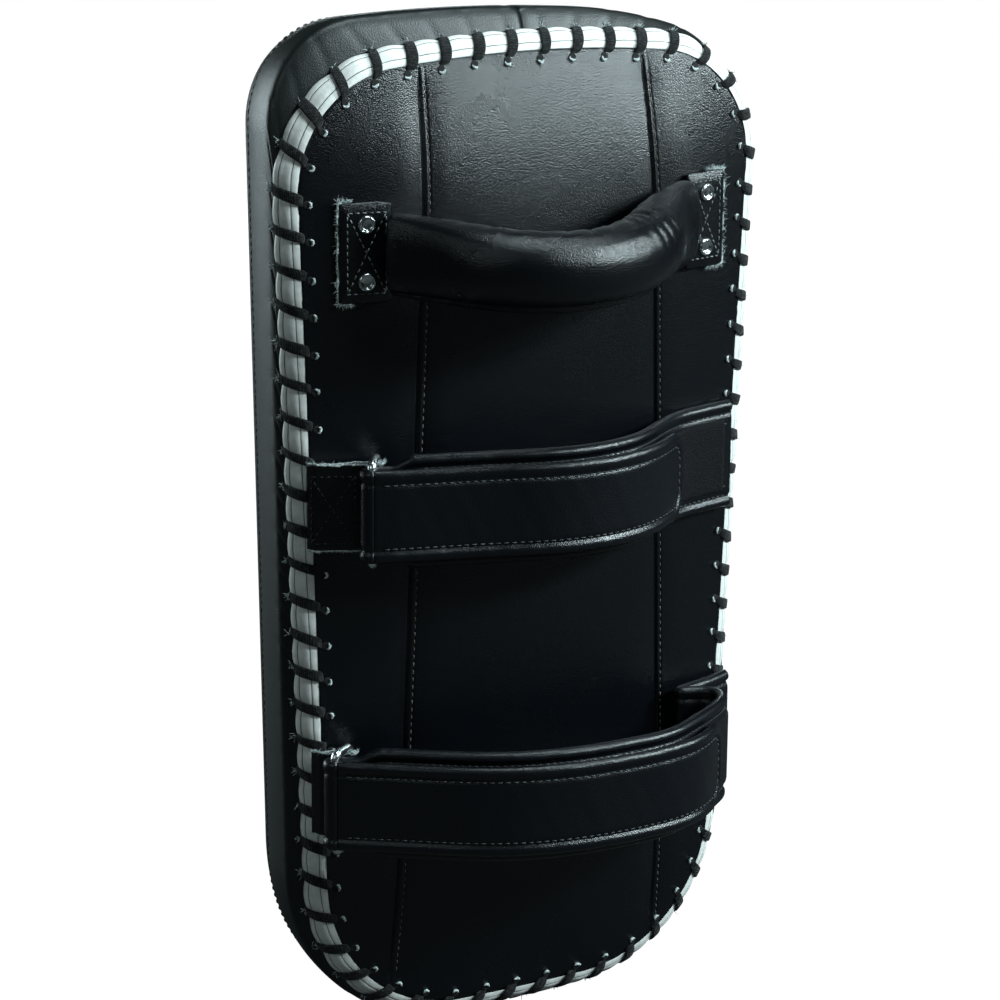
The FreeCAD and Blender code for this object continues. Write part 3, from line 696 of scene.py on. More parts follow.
bulge_x = np.arange(-0.105, 0.1051, cell)
bulge_z = np.arange(0.005, 0.3951, cell)
bulge, on_foam = crown_height(bulge_x, bulge_z)
sheet_x, sheet_z = np.meshgrid(bulge_x, bulge_z, indexing="ij")
pulled = surface("pulled_sheet", np.stack([sheet_x, -bulge, sheet_z], -1))
by_seam = np.abs(np.abs(sheet_x) - seam_half(sheet_z)) < 0.0014
settled_sheet = inflate(pulled, (by_seam | ~on_foam | (bulge < 0.0012)).ravel(), 9, 0.0022)
bulge = -settled_sheet[:, 1].reshape(bulge.shape)
bpy.data.objects.remove(pulled)


def panel_depth(x, z, seams=True):
    """Y of the panels' outer surface: the foam's lift read between grid points.

    At a seam the leather is pulled in along a wide bell, with a narrow groove at
    the seam, a ridge on its right and a dip under the stitches."""
    i = np.clip((x - bulge_x[0]) / cell, 0, len(bulge_x) - 1.001)
    k = np.clip((z - bulge_z[0]) / cell, 0, len(bulge_z) - 1.001)
    i0 = i.astype(int)
    k0 = k.astype(int)
    si = i - i0
    sk = k - k0
    lift = (bulge[i0, k0] * (1 - si) * (1 - sk) + bulge[i0 + 1, k0] * si * (1 - sk)
            + bulge[i0, k0 + 1] * (1 - si) * sk + bulge[i0 + 1, k0 + 1] * si * sk)
    if seams:
        off = np.where(x < 0, x + seam_half(z), x - seam_half(z))
        pull = 0.0008 * np.exp(-(off / 0.0060) ** 2) + 0.0008 * np.exp(-(off / 0.0006) ** 2)
        pull = pull - 0.00018 * np.exp(-((off - 0.0013) / 0.0007) ** 2)
        pull = pull + 0.0003 * np.exp(-((off - 0.0024) / 0.0005) ** 2)
        lift = lift - pull * np.clip(lift / 0.003, 0, 1)
    return back_plane - lift


def on_panel(x, z, lift=0.0):
    """Points on the panels' surface, or a lift above it."""
    return np.stack([x + 0 * z, panel_depth(x + 0 * z, z + 0 * x) - lift, z + 0 * x], -1)


def right_of_seam(station):
    """Whether the outline lies to the right of the right seam at a station."""
    point = outline(lace_shape, -panel_margin, np.array([station]))[0]
    return point[0] > seam_half(point[1])


def seam_crossing(low, high):
    """The station between two where the outline crosses the right seam, by halving."""
    beginning = right_of_seam(low)
    for _ in range(40):
        half = (low + high) / 2
        if right_of_seam(half) == beginning:
            low = half
        else:
            high = half
    return low


top_cross = seam_crossing(0.2, 1.8)
low_cross = seam_crossing(3.05, 4.95)


def panel_points(first, second, columns, crowd):
    """A panel's points: each row runs straight across from its first edge to its second.

    Crowd above 1 sets the columns closer together near the first edge."""
    share = np.linspace(0, 1, columns)[:, None, None] ** crowd
    flat = first[None] + (second - first)[None] * share
    return on_panel(flat[..., 0], flat[..., 1])


def seam_points(side, rows, shift=0.0):
    """Points up one seam in x and z, from its low end to its top end."""
    ends = outline(lace_shape, -panel_margin, np.array([low_cross, top_cross]))
    z = np.linspace(ends[0, 1], ends[1, 1], rows)
    return np.stack([side * seam_half(z) + shift, z], -1)


rows = 300
for side, name in ((1, "right"), (-1, "left")):
    rim = outline(lace_shape, -panel_margin, np.linspace(low_cross, top_cross, rows)) * [side, 1]
    flank = surface("back_panel_" + name + "_skin", panel_points(seam_points(side, rows), rim, 70, 1.5))
    thicken(flank, panel_thick)
    fit_piece(flank, panel_leather, "pad", "leather", "back_panel_" + name)
    seam = seam_points(side, rows, 0.0024)[6:-6]
    seam = facing_holder(on_panel(seam[:, 0], seam[:, 1]))
    stitches("back_seam_stitches_" + name, seam, panel_stitch, beige_thread)

across = 170
crowded = np.sin(np.linspace(-math.pi / 2, math.pi / 2, across)) * 0.5 + 0.5
stations = low_cross + (10 - 2 * low_cross) * crowded
low_edge = outline(lace_shape, -panel_margin, stations)[::-1]
stations = (top_cross * (2 * crowded - 1)) % 10
top_edge = outline(lace_shape, -panel_margin, stations)
rise = np.linspace(0, 1, rows)[:, None, None]
flat = low_edge[None] * (1 - rise) + top_edge[None] * rise
center_panel = surface("back_panel_center_skin", on_panel(flat[..., 0], flat[..., 1]))
thicken(center_panel, panel_thick)
fit_piece(center_panel, panel_leather, "pad", "leather", "back_panel_center")

# ---------------------------------------------------------------- foam
# Three blocks of foam fill the pad: a thick one behind the strike cover, a firm
# core between the walls and a thin one under the back panels. All are hidden.

foam_finish, foam_tree, foam_shader = new_material("foam", (0.20, 0.20, 0.21), 0.95)
foam_cells = pattern(foam_tree, "ShaderNodeTexVoronoi", 900)
foam_greys = (0.12, 0.12, 0.13), (0.28, 0.28, 0.29)
foam_colour = blend_colours(foam_tree, foam_cells.outputs["Distance"], *foam_greys)
foam_tree.links.new(foam_colour, foam_shader.inputs["Base Color"])
add_bump(foam_tree, foam_shader, foam_cells.outputs["Distance"], 0.0003)


def dress_node(node, material):
    """Gives a carried CAD piece its material."""
    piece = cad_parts[node]
    piece.data.materials.clear()
    piece.data.materials.append(material)


def foam_block(node, rings, gap):
    """A foam block: rings of points, each drawn in from the leather by a gap, capped by shrunk ones."""
    middle = rings.mean(1, keepdims=True)
    reach = np.linalg.norm((rings - middle)[..., [0, 2]], axis=-1)[..., None]
    rings = middle + (rings - middle) * (1 - gap / reach)
    share = np.array([0.02, 0.5, 0.95])[:, None, None]
    first = middle[:1] + (rings[:1] - middle[:1]) * share
    last = middle[-1:] + (rings[-1:] - middle[-1:]) * share[::-1]
    block = surface(node + "_block", np.concatenate([first, rings, last]), loop_columns=True)
    fit_piece(block, foam_finish, "pad", "foam", node)


foam_stations = even_stations(120)
for node, top, bottom, count, gap in (("front_foam", 0.036, 0.068, 8, 0.010),
                                      ("core_foam", 0.013, 0.034, 5, 0.005)):
    depths = np.linspace(top, bottom, count)
    foam_block(node, np.stack([wall_ring(depth, foam_stations) for depth in depths]), gap)
flat = outline(lace_shape, 0.004, foam_stations)
crown = []
for size in (0.1, 0.3, 0.5, 0.65, 0.8, 0.9, 1.0):
    x = flat[:, 0] * size
    z = 0.2 + (flat[:, 1] - 0.2) * size
    crown.append(np.stack([x, np.minimum(panel_depth(x, z, False) + 0.0035, 0.002), z], -1))
crown.append(flat[:, [0, 0, 1]] * [1, 0, 1] + [0, 0.006, 0])
foam_block("back_foam", np.stack(crown), 0.0005)

# ---------------------------------------------------------------- edge strip
# A strip of white vinyl, folded lengthwise into three layers, covers the joint
# between the back panels and the side walls. It swells between the turns of
# lace and is pinched under each one.

strip_swell = 0.0010
strip_pinch = 0.0011
strip_groove = 0.00022


def strip_shape(stations, share):
    """Points of the strip: round the pad by station, and across it by share.

    The straight slope from the panels' edge to the wall, plus an arch that is
    higher between two turns of lace, less two narrow lengthwise grooves."""
    line, out, _ = lace_frame(stations)
    between = np.sin(np.pi * np.clip(lace_phase(stations) * 2, 0, 1) / 2)[:, None]
    arch = (strip_swell + strip_pinch * between) * np.clip(4 * share * (1 - share), 0, 1) ** 0.7
    near_wall = np.clip((share - 0.6) / 0.4, 0, 1)
    near_panel = np.clip((0.4 - share) / 0.4, 0, 1)
    rim = between * (0.0011 * near_wall - 0.0007 * near_panel)
    groove = np.exp(-((share - 0.27) / 0.022) ** 2) + np.exp(-((share - 0.76) / 0.022) ** 2)
    lift = arch - strip_groove * groove
    slope = np.array([strip_spread, strip_depth]) / math.hypot(strip_spread, strip_depth)
    away = panel_margin + strip_spread * share + lift * slope[1] + rim
    depth = strip_depth * share - lift * slope[0] + 0 * away
    flat = line[:, None] + out[:, None] * away[..., None]
    return np.stack([flat[..., 0], back_plane + depth, flat[..., 1]], -1)


def lace_frame(stations):
    """The lace line's points, its outward directions and its directions of travel."""
    line = outline(lace_shape, 0, stations)
    step = 0.004
    way = outline(lace_shape, 0, (stations + step) % 10) - outline(lace_shape, 0, (stations - step) % 10)
    way = unit(way)
    return line, np.stack([-way[..., 1], way[..., 0]], -1), way


strip_stations = even_stations(lace_count * 12)
strip_share = np.linspace(0, 1, 26)
strip_points = strip_shape(strip_stations, strip_share)
strip_cloth = np.stack(np.broadcast_arrays(
    np.arange(len(strip_stations))[:, None] / 12.0, strip_share[None]), -1)
edge_strip = surface("edge_strip_skin", strip_points, loop_rows=True, texture=strip_cloth)
thicken(edge_strip, 0.0012)
vinyl, tree, shader = new_material("white_vinyl", (0.62, 0.70, 0.67), 0.38)
cloth = tree.nodes.new("ShaderNodeUVMap").outputs["UV"]
split = tree.nodes.new("ShaderNodeSeparateXYZ")
tree.links.new(cloth, split.inputs[0])
waver = pattern(tree, "ShaderNodeTexNoise", 160, 3.0)
wander = calculate(tree, "MULTIPLY", waver.outputs["Fac"], 0.04)
across_strip = calculate(tree, "ADD", split.outputs["Y"], wander)
# Two dark lines along the strip's lengthwise grooves are painted shade; the same mask also sinks the bump
# there.
groove_shade_lines = []
for share, width in ((0.29, 0.022), (0.78, 0.020)):
    off = calculate(tree, "ABSOLUTE", calculate(tree, "SUBTRACT", across_strip, share))
    groove_shade_lines.append(ramp(tree, off, 1, 0, width * 0.3, width))
groove_painted_shade = calculate(tree, "MAXIMUM", groove_shade_lines[0], groove_shade_lines[1])
streaks = pattern(tree, "ShaderNodeTexNoise", 420, 5.0)
stain = calculate(tree, "MULTIPLY", ramp(tree, streaks.outputs["Fac"], 0, 1, 0.45, 0.75), 0.5)
pale = blend_colours(tree, stain, (0.88, 0.88, 0.84), (0.62, 0.64, 0.61))
tree.links.new(blend_colours(tree, groove_painted_shade, pale, (0.09, 0.11, 0.11)), shader.inputs["Base Color"])
tree.links.new(ramp(tree, streaks.outputs["Fac"], 0.32, 0.5), shader.inputs["Roughness"])
add_bump(tree, shader, calculate(tree, "SUBTRACT", streaks.outputs["Fac"], groove_painted_shade), 0.00018)
fit_piece(edge_strip, vinyl, "pad", "vinyl", "edge_strip")

# ---------------------------------------------------------------- lacing
# Flat black lace holds the strip: 72 short turns, each out of a round hole in
# the panels and over the strip, then down beside the side wall. The leather's
# white backing is torn at the holes, and tufts of it stand out at the wall.

lace_wide = 0.0042
lace_thick = 0.0011
lace_slant = 0.0062
turn_route = np.array([
    (-0.0007, 0.0014), (-0.0002, -0.0002), (0.0012, -0.0012), (0.0030, -0.0011),
    (0.0054, 0.0004), (0.0080, 0.0030), (0.0094, 0.0060), (0.0090, 0.0082), (0.0074, 0.0094)])


def turn_middle(steps):
    """The turn's middle line, evened out: away from the lace line, and depth."""
    run = np.linspace(0, 1, len(turn_route))
    fine = np.linspace(0, 1, steps)
    line = np.stack([np.interp(fine, run, turn_route[:, k]) for k in range(2)], -1)
    for _ in range(6):
        line[1:-1] = (line[:-2] + 2 * line[1:-1] + line[2:]) / 4
    return line


def lace_turns(steps, ring):
    """All turns at once, shaped (turns, steps, ring, 3).

    The section is a flat loop: wide along the edge, thin across it, with round
    ends. Towards the panel a turn slants back along the edge, and narrows."""
    line, out, way = lace_frame(lace_stations)
    middle = turn_middle(steps)
    heading = unit(np.gradient(middle, axis=0))
    normal = np.stack([heading[:, 1], -heading[:, 0]], -1)
    angle = np.arange(ring) / ring * 2 * np.pi
    wide = np.sign(np.cos(angle)) * np.abs(np.cos(angle)) ** 0.6
    thin = np.sign(np.sin(angle)) * np.abs(np.sin(angle)) ** 0.8
    share = np.linspace(0, 1, steps)
    random = np.random.default_rng(5)
    wobble = random.normal(0, 1, (lace_count, 3))
    width = lace_wide / 2 * (0.80 + 0.25 * np.sin(np.pi * np.clip(share * 1.1, 0, 1)))
    width = width[None] * (1 + 0.06 * wobble[:, :1])
    slant = (lace_slant + 0.0005 * wobble[:, 1:2]) * (share[None] - 0.55)
    along = slant[..., None] + width[..., None] * wide
    curve = lace_thick / 2 * thin * (1 + 0.35 * np.cos(angle) ** 2)
    away = middle[:, 0][:, None] + normal[:, 0][:, None] * curve
    depth = middle[:, 1][:, None] + normal[:, 1][:, None] * curve
    twist = 0.10 * wobble[:, 2][:, None, None] * width[..., None] * wide
    away = away[None] + twist * normal[None, :, 0, None]
    depth = depth[None] + twist * normal[None, :, 1, None]
    outwards = out[:, None, None] * away[..., None]
    flat = line[:, None, None] + outwards + way[:, None, None] * along[..., None]
    return np.stack([flat[..., 0], back_plane + depth, flat[..., 1]], -1)


weave_group, weave_in, weave_out = new_group("weave", {"Threads per metre": 1500.0}, ("Height", "Slub"))
weave_strands = []
for direction in ("X", "Y", "Z"):
    bands = pattern(weave_group, "ShaderNodeTexWave", weave_in.outputs["Threads per metre"],
                    wave_type="BANDS", bands_direction=direction)
    bands.inputs["Distortion"].default_value = 1.2
    weave_strands.append(bands.outputs["Fac"])
crossing = calculate(weave_group, "MULTIPLY", weave_strands[0], weave_strands[2])
upright = calculate(weave_group, "MULTIPLY", weave_strands[1], 0.5)
weave_sum = calculate(weave_group, "ADD", crossing, upright)
slub = pattern(weave_group, "ShaderNodeTexNoise", 700, 4.0)
weave_group.links.new(weave_sum, weave_out.inputs["Height"])
weave_group.links.new(ramp(weave_group, slub.outputs["Fac"], 0, 1, 0.45, 0.75), weave_out.inputs["Slub"])


def woven(name, dark, pale, roughness, threads, depth):
    """Woven tape or cloth: crossing threads, with paler slubs and gaps."""
    material, tree, shader = new_material(name, dark, roughness)
    cloth = place_group(tree, weave_group, Threads_per_metre=threads)
    mix = calculate(tree, "MULTIPLY", cloth.outputs["Height"], cloth.outputs["Slub"])
    tree.links.new(blend_colours(tree, mix, dark, pale), shader.inputs["Base Color"])
    shader.inputs["Sheen Weight"].default_value = 0.15
    shader.inputs["Sheen Roughness"].default_value = 0.4
    shader.inputs["Specular IOR Level"].default_value = 0.2
    add_bump(tree, shader, cloth.outputs["Height"], depth)
    return material


lace_weave = woven("lace_weave", (0.004, 0.004, 0.005), (0.085, 0.09, 0.09), 0.75, 620, 0.00035)
lacing = show_tubes("lacing_turns", lace_turns(16, 12))
fit_piece(lacing, lace_weave, "pad", "lace", "lacing")

# Each hole is a near-black disc lying on the panel, painted shade standing in for the hole's depth, with a
# torn white rim on its inner side.
hole_radius = 0.0014
hole_away = -0.0012
hole_painted_shade, tree, shader = new_material("hole_painted_shade", (0.003, 0.003, 0.003), 0.9)
hole_noise = pattern(tree, "ShaderNodeTexNoise", 900, 2.0)
tree.links.new(blend_colours(tree, hole_noise.outputs["Fac"], (0.001, 0.001, 0.001), (0.012, 0.012, 0.012)),
               shader.inputs["Base Color"])
line, out, way = lace_frame(lace_stations)
hole_slip = -way * lace_slant * 0.62
hole_middle = line + out * hole_away + hole_slip
ring_angle = np.linspace(0, 2 * np.pi, 13)[:-1]
ring_reach = np.array([0.0001, 0.6, 1.0, 1.25])
pit = hole_middle[:, None, None] + hole_radius * ring_reach[None, :, None, None] * (
    out[:, None, None] * np.cos(ring_angle)[:, None] + way[:, None, None] * np.sin(ring_angle)[:, None])
pit_lift = np.array([0.00025, 0.00028, 0.00030, -0.00020])[None, :, None]
pit_points = np.stack([pit[..., 0], panel_depth(pit[..., 0], pit[..., 1]) - pit_lift, pit[..., 1]], -1)
holes = show_tubes("lace_holes", pit_points)
fit_piece(holes, hole_painted_shade, "pad", "leather")

torn_white, tree, shader = new_material("torn_backing", (0.70, 0.76, 0.75), 0.95)
torn_noise = pattern(tree, "ShaderNodeTexNoise", 1300, 3.0)
tree.links.new(blend_colours(tree, ramp(tree, torn_noise.outputs["Fac"], 0, 1, 0.4, 0.7),
                             (0.30, 0.36, 0.36), (0.85, 0.90, 0.89)), shader.inputs["Base Color"])
add_bump(tree, shader, torn_noise.outputs["Fac"], 0.00015)


def torn_rims(count):
    """White crescents on the holes' inner sides: an arc of each hole's rim, ragged in radius."""
    random = np.random.default_rng(11)
    turn = np.linspace(-1.25, 1.25, count)[None] + np.pi + random.normal(0, 0.35, (lace_count, 1))
    reach = hole_radius * (0.95 + 0.10 * random.normal(0, 1, (lace_count, count)))
    flat = hole_middle[:, None] + reach[..., None] * (
        out[:, None] * np.cos(turn)[..., None] + way[:, None] * np.sin(turn)[..., None])
    lift = 0.0004 + 0.0003 * random.random((lace_count, count))
    return np.stack([flat[..., 0], panel_depth(flat[..., 0], flat[..., 1]) - lift, flat[..., 1]], -1)


rim_thick = 0.00055 * np.array([0.3, 0.8, 1.0, 1.15, 1.0, 0.8, 0.3])
rims = small_tubes("torn_hole_rims", torn_rims(7), rim_thick, 6)
fit_piece(rims, torn_white, "pad", "leather")


def loose_fibres(name, roots, outward, sideways, count, length, radius, seed):
    """Tufts of short bent fibres: from each root, a random lean and a random bend."""
    random = np.random.default_rng(seed)
    roots = np.repeat(roots, count, axis=0)
    outward = np.repeat(outward, count, axis=0)
    sideways = np.repeat(sideways, count, axis=0)
    many = len(roots)
    lean = outward + sideways * random.normal(0, 0.8, (many, 1)) + random.normal(0, 0.35, (many, 3))
    lean = unit(lean)
    size = length * random.uniform(0.4, 1.0, (many, 1))
    start = roots + sideways * random.normal(0, 0.5, (many, 1)) * length * 0.6
    bend = start + lean * size * 0.6 + random.normal(0, 0.2, (many, 3)) * size
    end = start + lean * size + random.normal(0, 0.35, (many, 3)) * size
    route = np.stack([start, (start + 2 * bend + 0.6 * end) / 3.6, end], 1)
    return small_tubes(name, route, radius * np.array([1.0, 0.8, 0.4]), 4)


wall_away = panel_margin + strip_spread + 0.0009
tuft_place = line + out * wall_away + way * (lace_slant * 0.45 - 0.0012)
tuft_depth = np.full(lace_count, back_plane + strip_depth + 0.0009)
tuft_roots = np.stack([tuft_place[:, 0], tuft_depth, tuft_place[:, 1]], -1)
tuft_out = np.stack([out[:, 0], np.full(lace_count, -0.25), out[:, 1]], -1)
tuft_side = np.stack([way[:, 0], np.zeros(lace_count), way[:, 1]], -1)
tufts = loose_fibres("lace_tufts", tuft_roots, tuft_out, tuft_side, 11, 0.0022, 0.00020, 3)
fit_piece(tufts, torn_white, "pad", "lace")

# ---------------------------------------------------------------- handle tabs
# Two small plates of doubled leather hold the handle. They are cut by hand, so
# their white backing shows along the edges. Each is sewn down with a box and a
# cross, and two hollow rivets go through it.

tab_half_wide = 0.0100
tab_half_tall = 0.0188
tab_thick = 0.0016
tab_stitch = (0.0026, 0.0017, 0.00024)
tab_middle = 0.074
tab_slope = math.tan(math.radians(12))
tab_outer = -0.0135
handle_height = 0.318
rivet_rise = 0.0107


def ragged(along, seed):
    """An uneven edge: waves of four lengths along it, about one high."""
    random = np.random.default_rng(seed)
    total = 0 * along
    for length in (0.013, 0.006, 0.0027, 0.0013):
        total = total + math.sqrt(length / 0.013) * np.sin(2 * np.pi * (along / length + random.random()))
    return total / 2


def tab_face(side, across, up, lift=0.0):
    """Points of a tab's outer face: a leaning plane that sags to the panel at its rim."""
    x = side * tab_middle + across
    z = handle_height + up
    plane = tab_outer + side * across * tab_slope
    rim = np.maximum(np.abs(across) / tab_half_wide, np.abs(up) / tab_half_tall)
    sag = np.clip((rim - 0.72) / 0.28, 0, 1) ** 2
    lying = panel_depth(x, z, False) - tab_thick - 0.0002
    return np.stack([x, plane + (np.minimum(lying, plane + 0.0010) - plane) * sag - lift, z], -1)


def torn_edge(name, path, thick, seed, fibres=2, length=0.0018):
    """A raw edge of white backing: an uneven cord along a path, with fibres standing out.

    The path is (points, 6): a place and the direction the fibres take."""
    random = np.random.default_rng(seed)
    place = path[:, :3]
    out = path[:, 3:]
    run = run_along(place)
    uneven = ragged(run, seed)[:, None]
    line = place + out * uneven * thick * 0.7
    size = thick * np.clip(0.75 + 0.55 * ragged(run, seed + 1), 0.12, 1.6)
    size[[0, -1]] = thick * 0.1
    cord = small_tubes(name + "_cord", line[None], size[None], 6)
    fit_piece(cord, torn_white, "pad", "leather")
    way = unit(np.gradient(place, axis=0))
    fluff = loose_fibres(name + "_fluff", line, out, way, fibres, length, 0.00009, seed + 2)
    fit_piece(fluff, torn_white, "pad", "leather")


def corners_to_path(corners, steps):
    """An even path through corner points, the same number of steps for each stretch."""
    share = np.linspace(0, 1, steps, endpoint=False)[:, None]
    parts = [start + (end - start) * share for start, end in zip(corners[:-1], corners[1:])]
    return np.concatenate(parts + [corners[-1:]])


tab_edges = {-1: [(-0.6, 1), (-1, 1), (-1, -1), (-0.5, -1)], 1: [(0.1, 1), (1, 1), (1, -1), (0.2, -1)]}
box_and_cross = [(-0.72, 0.80), (0.72, 0.80), (0.72, -0.80), (-0.72, -0.80), (-0.72, 0.80), (0.72, -0.80)]
other_cross = [(-0.72, -0.80), (0.72, 0.80)]
half_sizes = np.array([tab_half_wide, tab_half_tall])
for side, name in ((-1, "left"), (1, "right")):
    across, up = np.meshgrid(np.linspace(-1, 1, 33), np.linspace(-1, 1, 57), indexing="ij")
    uneven_x = 1 + 0.028 * ragged(up * tab_half_tall, 20 + side) * np.abs(across) ** 6
    uneven_z = 1 + 0.012 * ragged(across * tab_half_wide, 30 + side) * np.abs(up) ** 6
    rounded = 1 - 0.05 * np.abs(across * up) ** 8
    plate_x = across * uneven_x * rounded * tab_half_wide
    plate_z = up * uneven_z * rounded * tab_half_tall
    plate = tab_face(side, plate_x, plate_z)
    tab = surface("handle_tab_" + name + "_skin", plate)
    thicken(tab, tab_thick)
    fit_piece(tab, panel_leather, "pad", "leather", "handle_tab_" + name)
    edge = corners_to_path(np.array(tab_edges[side]) * half_sizes, 60)
    away = np.sign(edge) * (np.abs(edge) > half_sizes * 0.98)
    away = away / np.maximum(np.linalg.norm(away, axis=1, keepdims=True), 1)
    place = tab_face(side, edge[:, 0], edge[:, 1], -0.0005)
    away = np.stack([away[:, 0], np.full(len(away), -0.35), away[:, 1]], -1)
    torn_edge("handle_tab_" + name + "_edge", np.hstack([place, away]), 0.00050, 40 + side, 2)
    for part, corners in (("box", box_and_cross), ("cross", other_cross)):
        run = corners_to_path(np.array(corners) * half_sizes, 40)
        place = tab_face(side, run[:, 0], run[:, 1])
        stitches("handle_tab_" + name + "_" + part, facing_holder(place), tab_stitch, pale_thread)

# ---------------------------------------------------------------- rivets
# Four hollow rivets of chromed steel: a low cap with a rolled rim and a dished
# middle, a shank through tab and panel, and a plain steel washer behind.


def steel(name, colour, roughness, scratches):
    """Plated steel with fine scratches and a few dull spots."""
    material, tree, shader = new_material(name, colour, roughness)
    shader.inputs["Metallic"].default_value = 1
    spots = pattern(tree, "ShaderNodeTexNoise", 500, 4.0)
    tree.links.new(ramp(tree, spots.outputs["Fac"], roughness, roughness + scratches, 0.4, 0.7),
                   shader.inputs["Roughness"])
    add_bump(tree, shader, spots.outputs["Fac"], 0.00002)
    return material


def turned_parts(name, profile, places, axes, ring=32):
    """Turned parts: at each place, a profile of radius and height spun about a level axis."""
    up = np.array([0, 0, 1.0])
    side = np.cross(axes, up)
    angle = np.arange(ring) / ring * 2 * np.pi
    circle = side[:, None] * np.cos(angle)[:, None] + up * np.sin(angle)[:, None]
    points = (places[:, None, None] + axes[:, None, None] * profile[None, :, None, 1:]
              + circle[:, None] * profile[None, :, None, :1])
    return show_tubes(name, points)


chrome = steel("chrome", (0.80, 0.84, 0.85), 0.16, 0.14)
rivet_sides = np.array([-1, -1, 1, 1.0])
rivet_places = tab_face(rivet_sides, np.zeros(4), rivet_rise * np.array([-1, 1, -1, 1.0]))
lean = math.radians(12)
rivet_axes = np.stack([rivet_sides * math.sin(lean), np.full(4, -math.cos(lean)), np.zeros(4)], -1)
cap_profile = np.array([
    (0.01, 0.15), (1.2, 0.14), (1.95, 0.2), (2.2, 0.5), (2.35, 0.85), (2.55, 1.1), (2.8, 1.2), (3.05, 1.1),
    (3.28, 0.8), (3.4, 0.4), (3.42, 0.1), (3.2, -0.05), (1.5, -0.1), (1.5, -7.0), (0.01, -7.0)]) / 1000
rivets = turned_parts("rivet_caps", cap_profile, rivet_places, rivet_axes)
fit_piece(rivets, chrome, "pad", "rivet", "handle_rivets")
dress_node("rivet_burrs", steel("washer_steel", (0.42, 0.43, 0.44), 0.4, 0.2))

# ---------------------------------------------------------------- handle
# The grip is a strap of webbing wrapped in foam and leather. The leather is
# sewn into a tube along its lower side, where both layers stand out as a narrow
# lip, and flattens where its ends run under the tabs' rivets.

webbing = woven("webbing", (0.010, 0.011, 0.012), (0.05, 0.05, 0.055), 0.8, 420, 0.0003)
grip_leather = leather("grip_leather", *panel_blacks, 0.27, 0.55, 1900, 0.00012)


def smooth_line(corners, count):
    """Evenly spaced points on a curve through a few corners.

    Between two corners each coordinate is a cubic; where they meet, slope and
    bend agree, and the bend is nothing at both ends."""
    corners = np.array(corners, float)
    knots = run_along(corners)
    gap = np.diff(knots)
    slope = np.diff(corners, axis=0) / gap[:, None]
    inner = np.arange(1, len(knots) - 1)
    system = np.eye(len(knots))
    system[inner, inner - 1] = gap[:-1]
    system[inner, inner] = 2 * (gap[:-1] + gap[1:])
    system[inner, inner + 1] = gap[1:]
    right = np.zeros(corners.shape)
    right[1:-1] = 6 * np.diff(slope, axis=0)
    bend = np.linalg.solve(system, right)
    at = np.linspace(0, knots[-1], 1200)
    k = np.clip(np.searchsorted(knots, at, side="right") - 1, 0, len(gap) - 1)
    along = (at - knots[k])[:, None]
    width = gap[k][:, None]
    start = slope[k] - width * (2 * bend[k] + bend[k + 1]) / 6
    twist = (bend[k + 1] - bend[k]) / (6 * width)
    curve = corners[k] + start * along + bend[k] / 2 * along ** 2 + twist * along ** 3
    return even_line(curve, count)


def even_line(curve, count):
    """The same line with its points spread evenly along it."""
    run = run_along(curve)
    at = np.linspace(0, run[-1], count)
    return np.stack([np.interp(at, run, curve[:, k]) for k in range(curve.shape[1])], -1)


grip_corners = np.array([
    (-67.5, -19.0, 319), (-54, -34.5, 318), (-38, -51.5, 316.5), (-14, -61, 315.5),
    (8, -58, 316), (28, -45.5, 317.5), (46, -29.5, 319), (60.5, -20.5, 320)]) / 1000
grip_heights = ([0, 0.12, 0.5, 0.85, 1], [0.0290, 0.0290, 0.0270, 0.0305, 0.0315])
grip_rows = 240
grip_line = smooth_line(grip_corners, grip_rows)


def grip_surface(ring):
    """The grip's skin: rows along its line, each a rounded section.

    The section is a superellipse, as high and thick as its share along the line
    says, with a lip at the bottom and creases over the right half's top."""
    share = np.linspace(0, 1, grip_rows)
    high = np.interp(share, *grip_heights) / 2
    full = np.clip(np.minimum(share, 1 - share) / 0.26, 0, 1)
    thick = (0.0125 + 0.0115 * full * full * (3 - 2 * full)) / 2
    end = np.clip(np.minimum(share, 1 - share) * grip_rows / 3.0, 0, 1)
    end = np.sqrt(np.clip(1 - (1 - end) ** 2, 0, 1)) * 0.16 + 0.84
    end[[0, -1]] = 0.02
    turn = np.linspace(0, 1, ring, endpoint=False)
    angle = 2 * np.pi * turn + 0.55 * np.sin(2 * np.pi * turn + np.pi / 2) - np.pi / 2
    boxy = 0.92 - 0.25 * (1 - full[:, None])
    out = np.sign(np.cos(angle)) * np.abs(np.cos(angle)) ** boxy * (thick * end)[:, None]
    up = np.sign(np.sin(angle)) * np.abs(np.sin(angle)) ** boxy * (high * end)[:, None]
    run = share * 0.175
    wave = run[:, None] / 0.0083 + 0.7 * np.sin(angle * 1.3) + 0.4 * np.sin(share[:, None] * 19)
    crease = 0.5 + 0.5 * np.sin(2 * np.pi * wave)
    where = np.exp(-((share - 0.70) / 0.075) ** 2)[:, None] * np.clip(np.sin(angle + 0.5), 0, 1) ** 1.5
    slack = 0.5 + 0.5 * np.sin(2 * np.pi * (run[:, None] / 0.011 + 0.8 * np.sin(angle + 1)))
    dip = 1 - 0.038 * crease ** 2 * where
    dip = dip - 0.03 * slack ** 2 * np.clip(np.sin(angle - 0.6), 0, 1) ** 2 * full[:, None]
    lip = 0.0026 * np.exp(-(np.abs(np.sin((angle + np.pi / 2) / 2)) / 0.085) ** 4) * full[:, None] ** 0.2
    way = unit(np.gradient(grip_line, axis=0))
    side = unit(np.stack([way[:, 1], -way[:, 0], 0 * way[:, 0]], -1))
    points = grip_line[:, None] + side[:, None] * (out * dip)[..., None]
    points[..., 2] += up * dip - lip
    return points, side


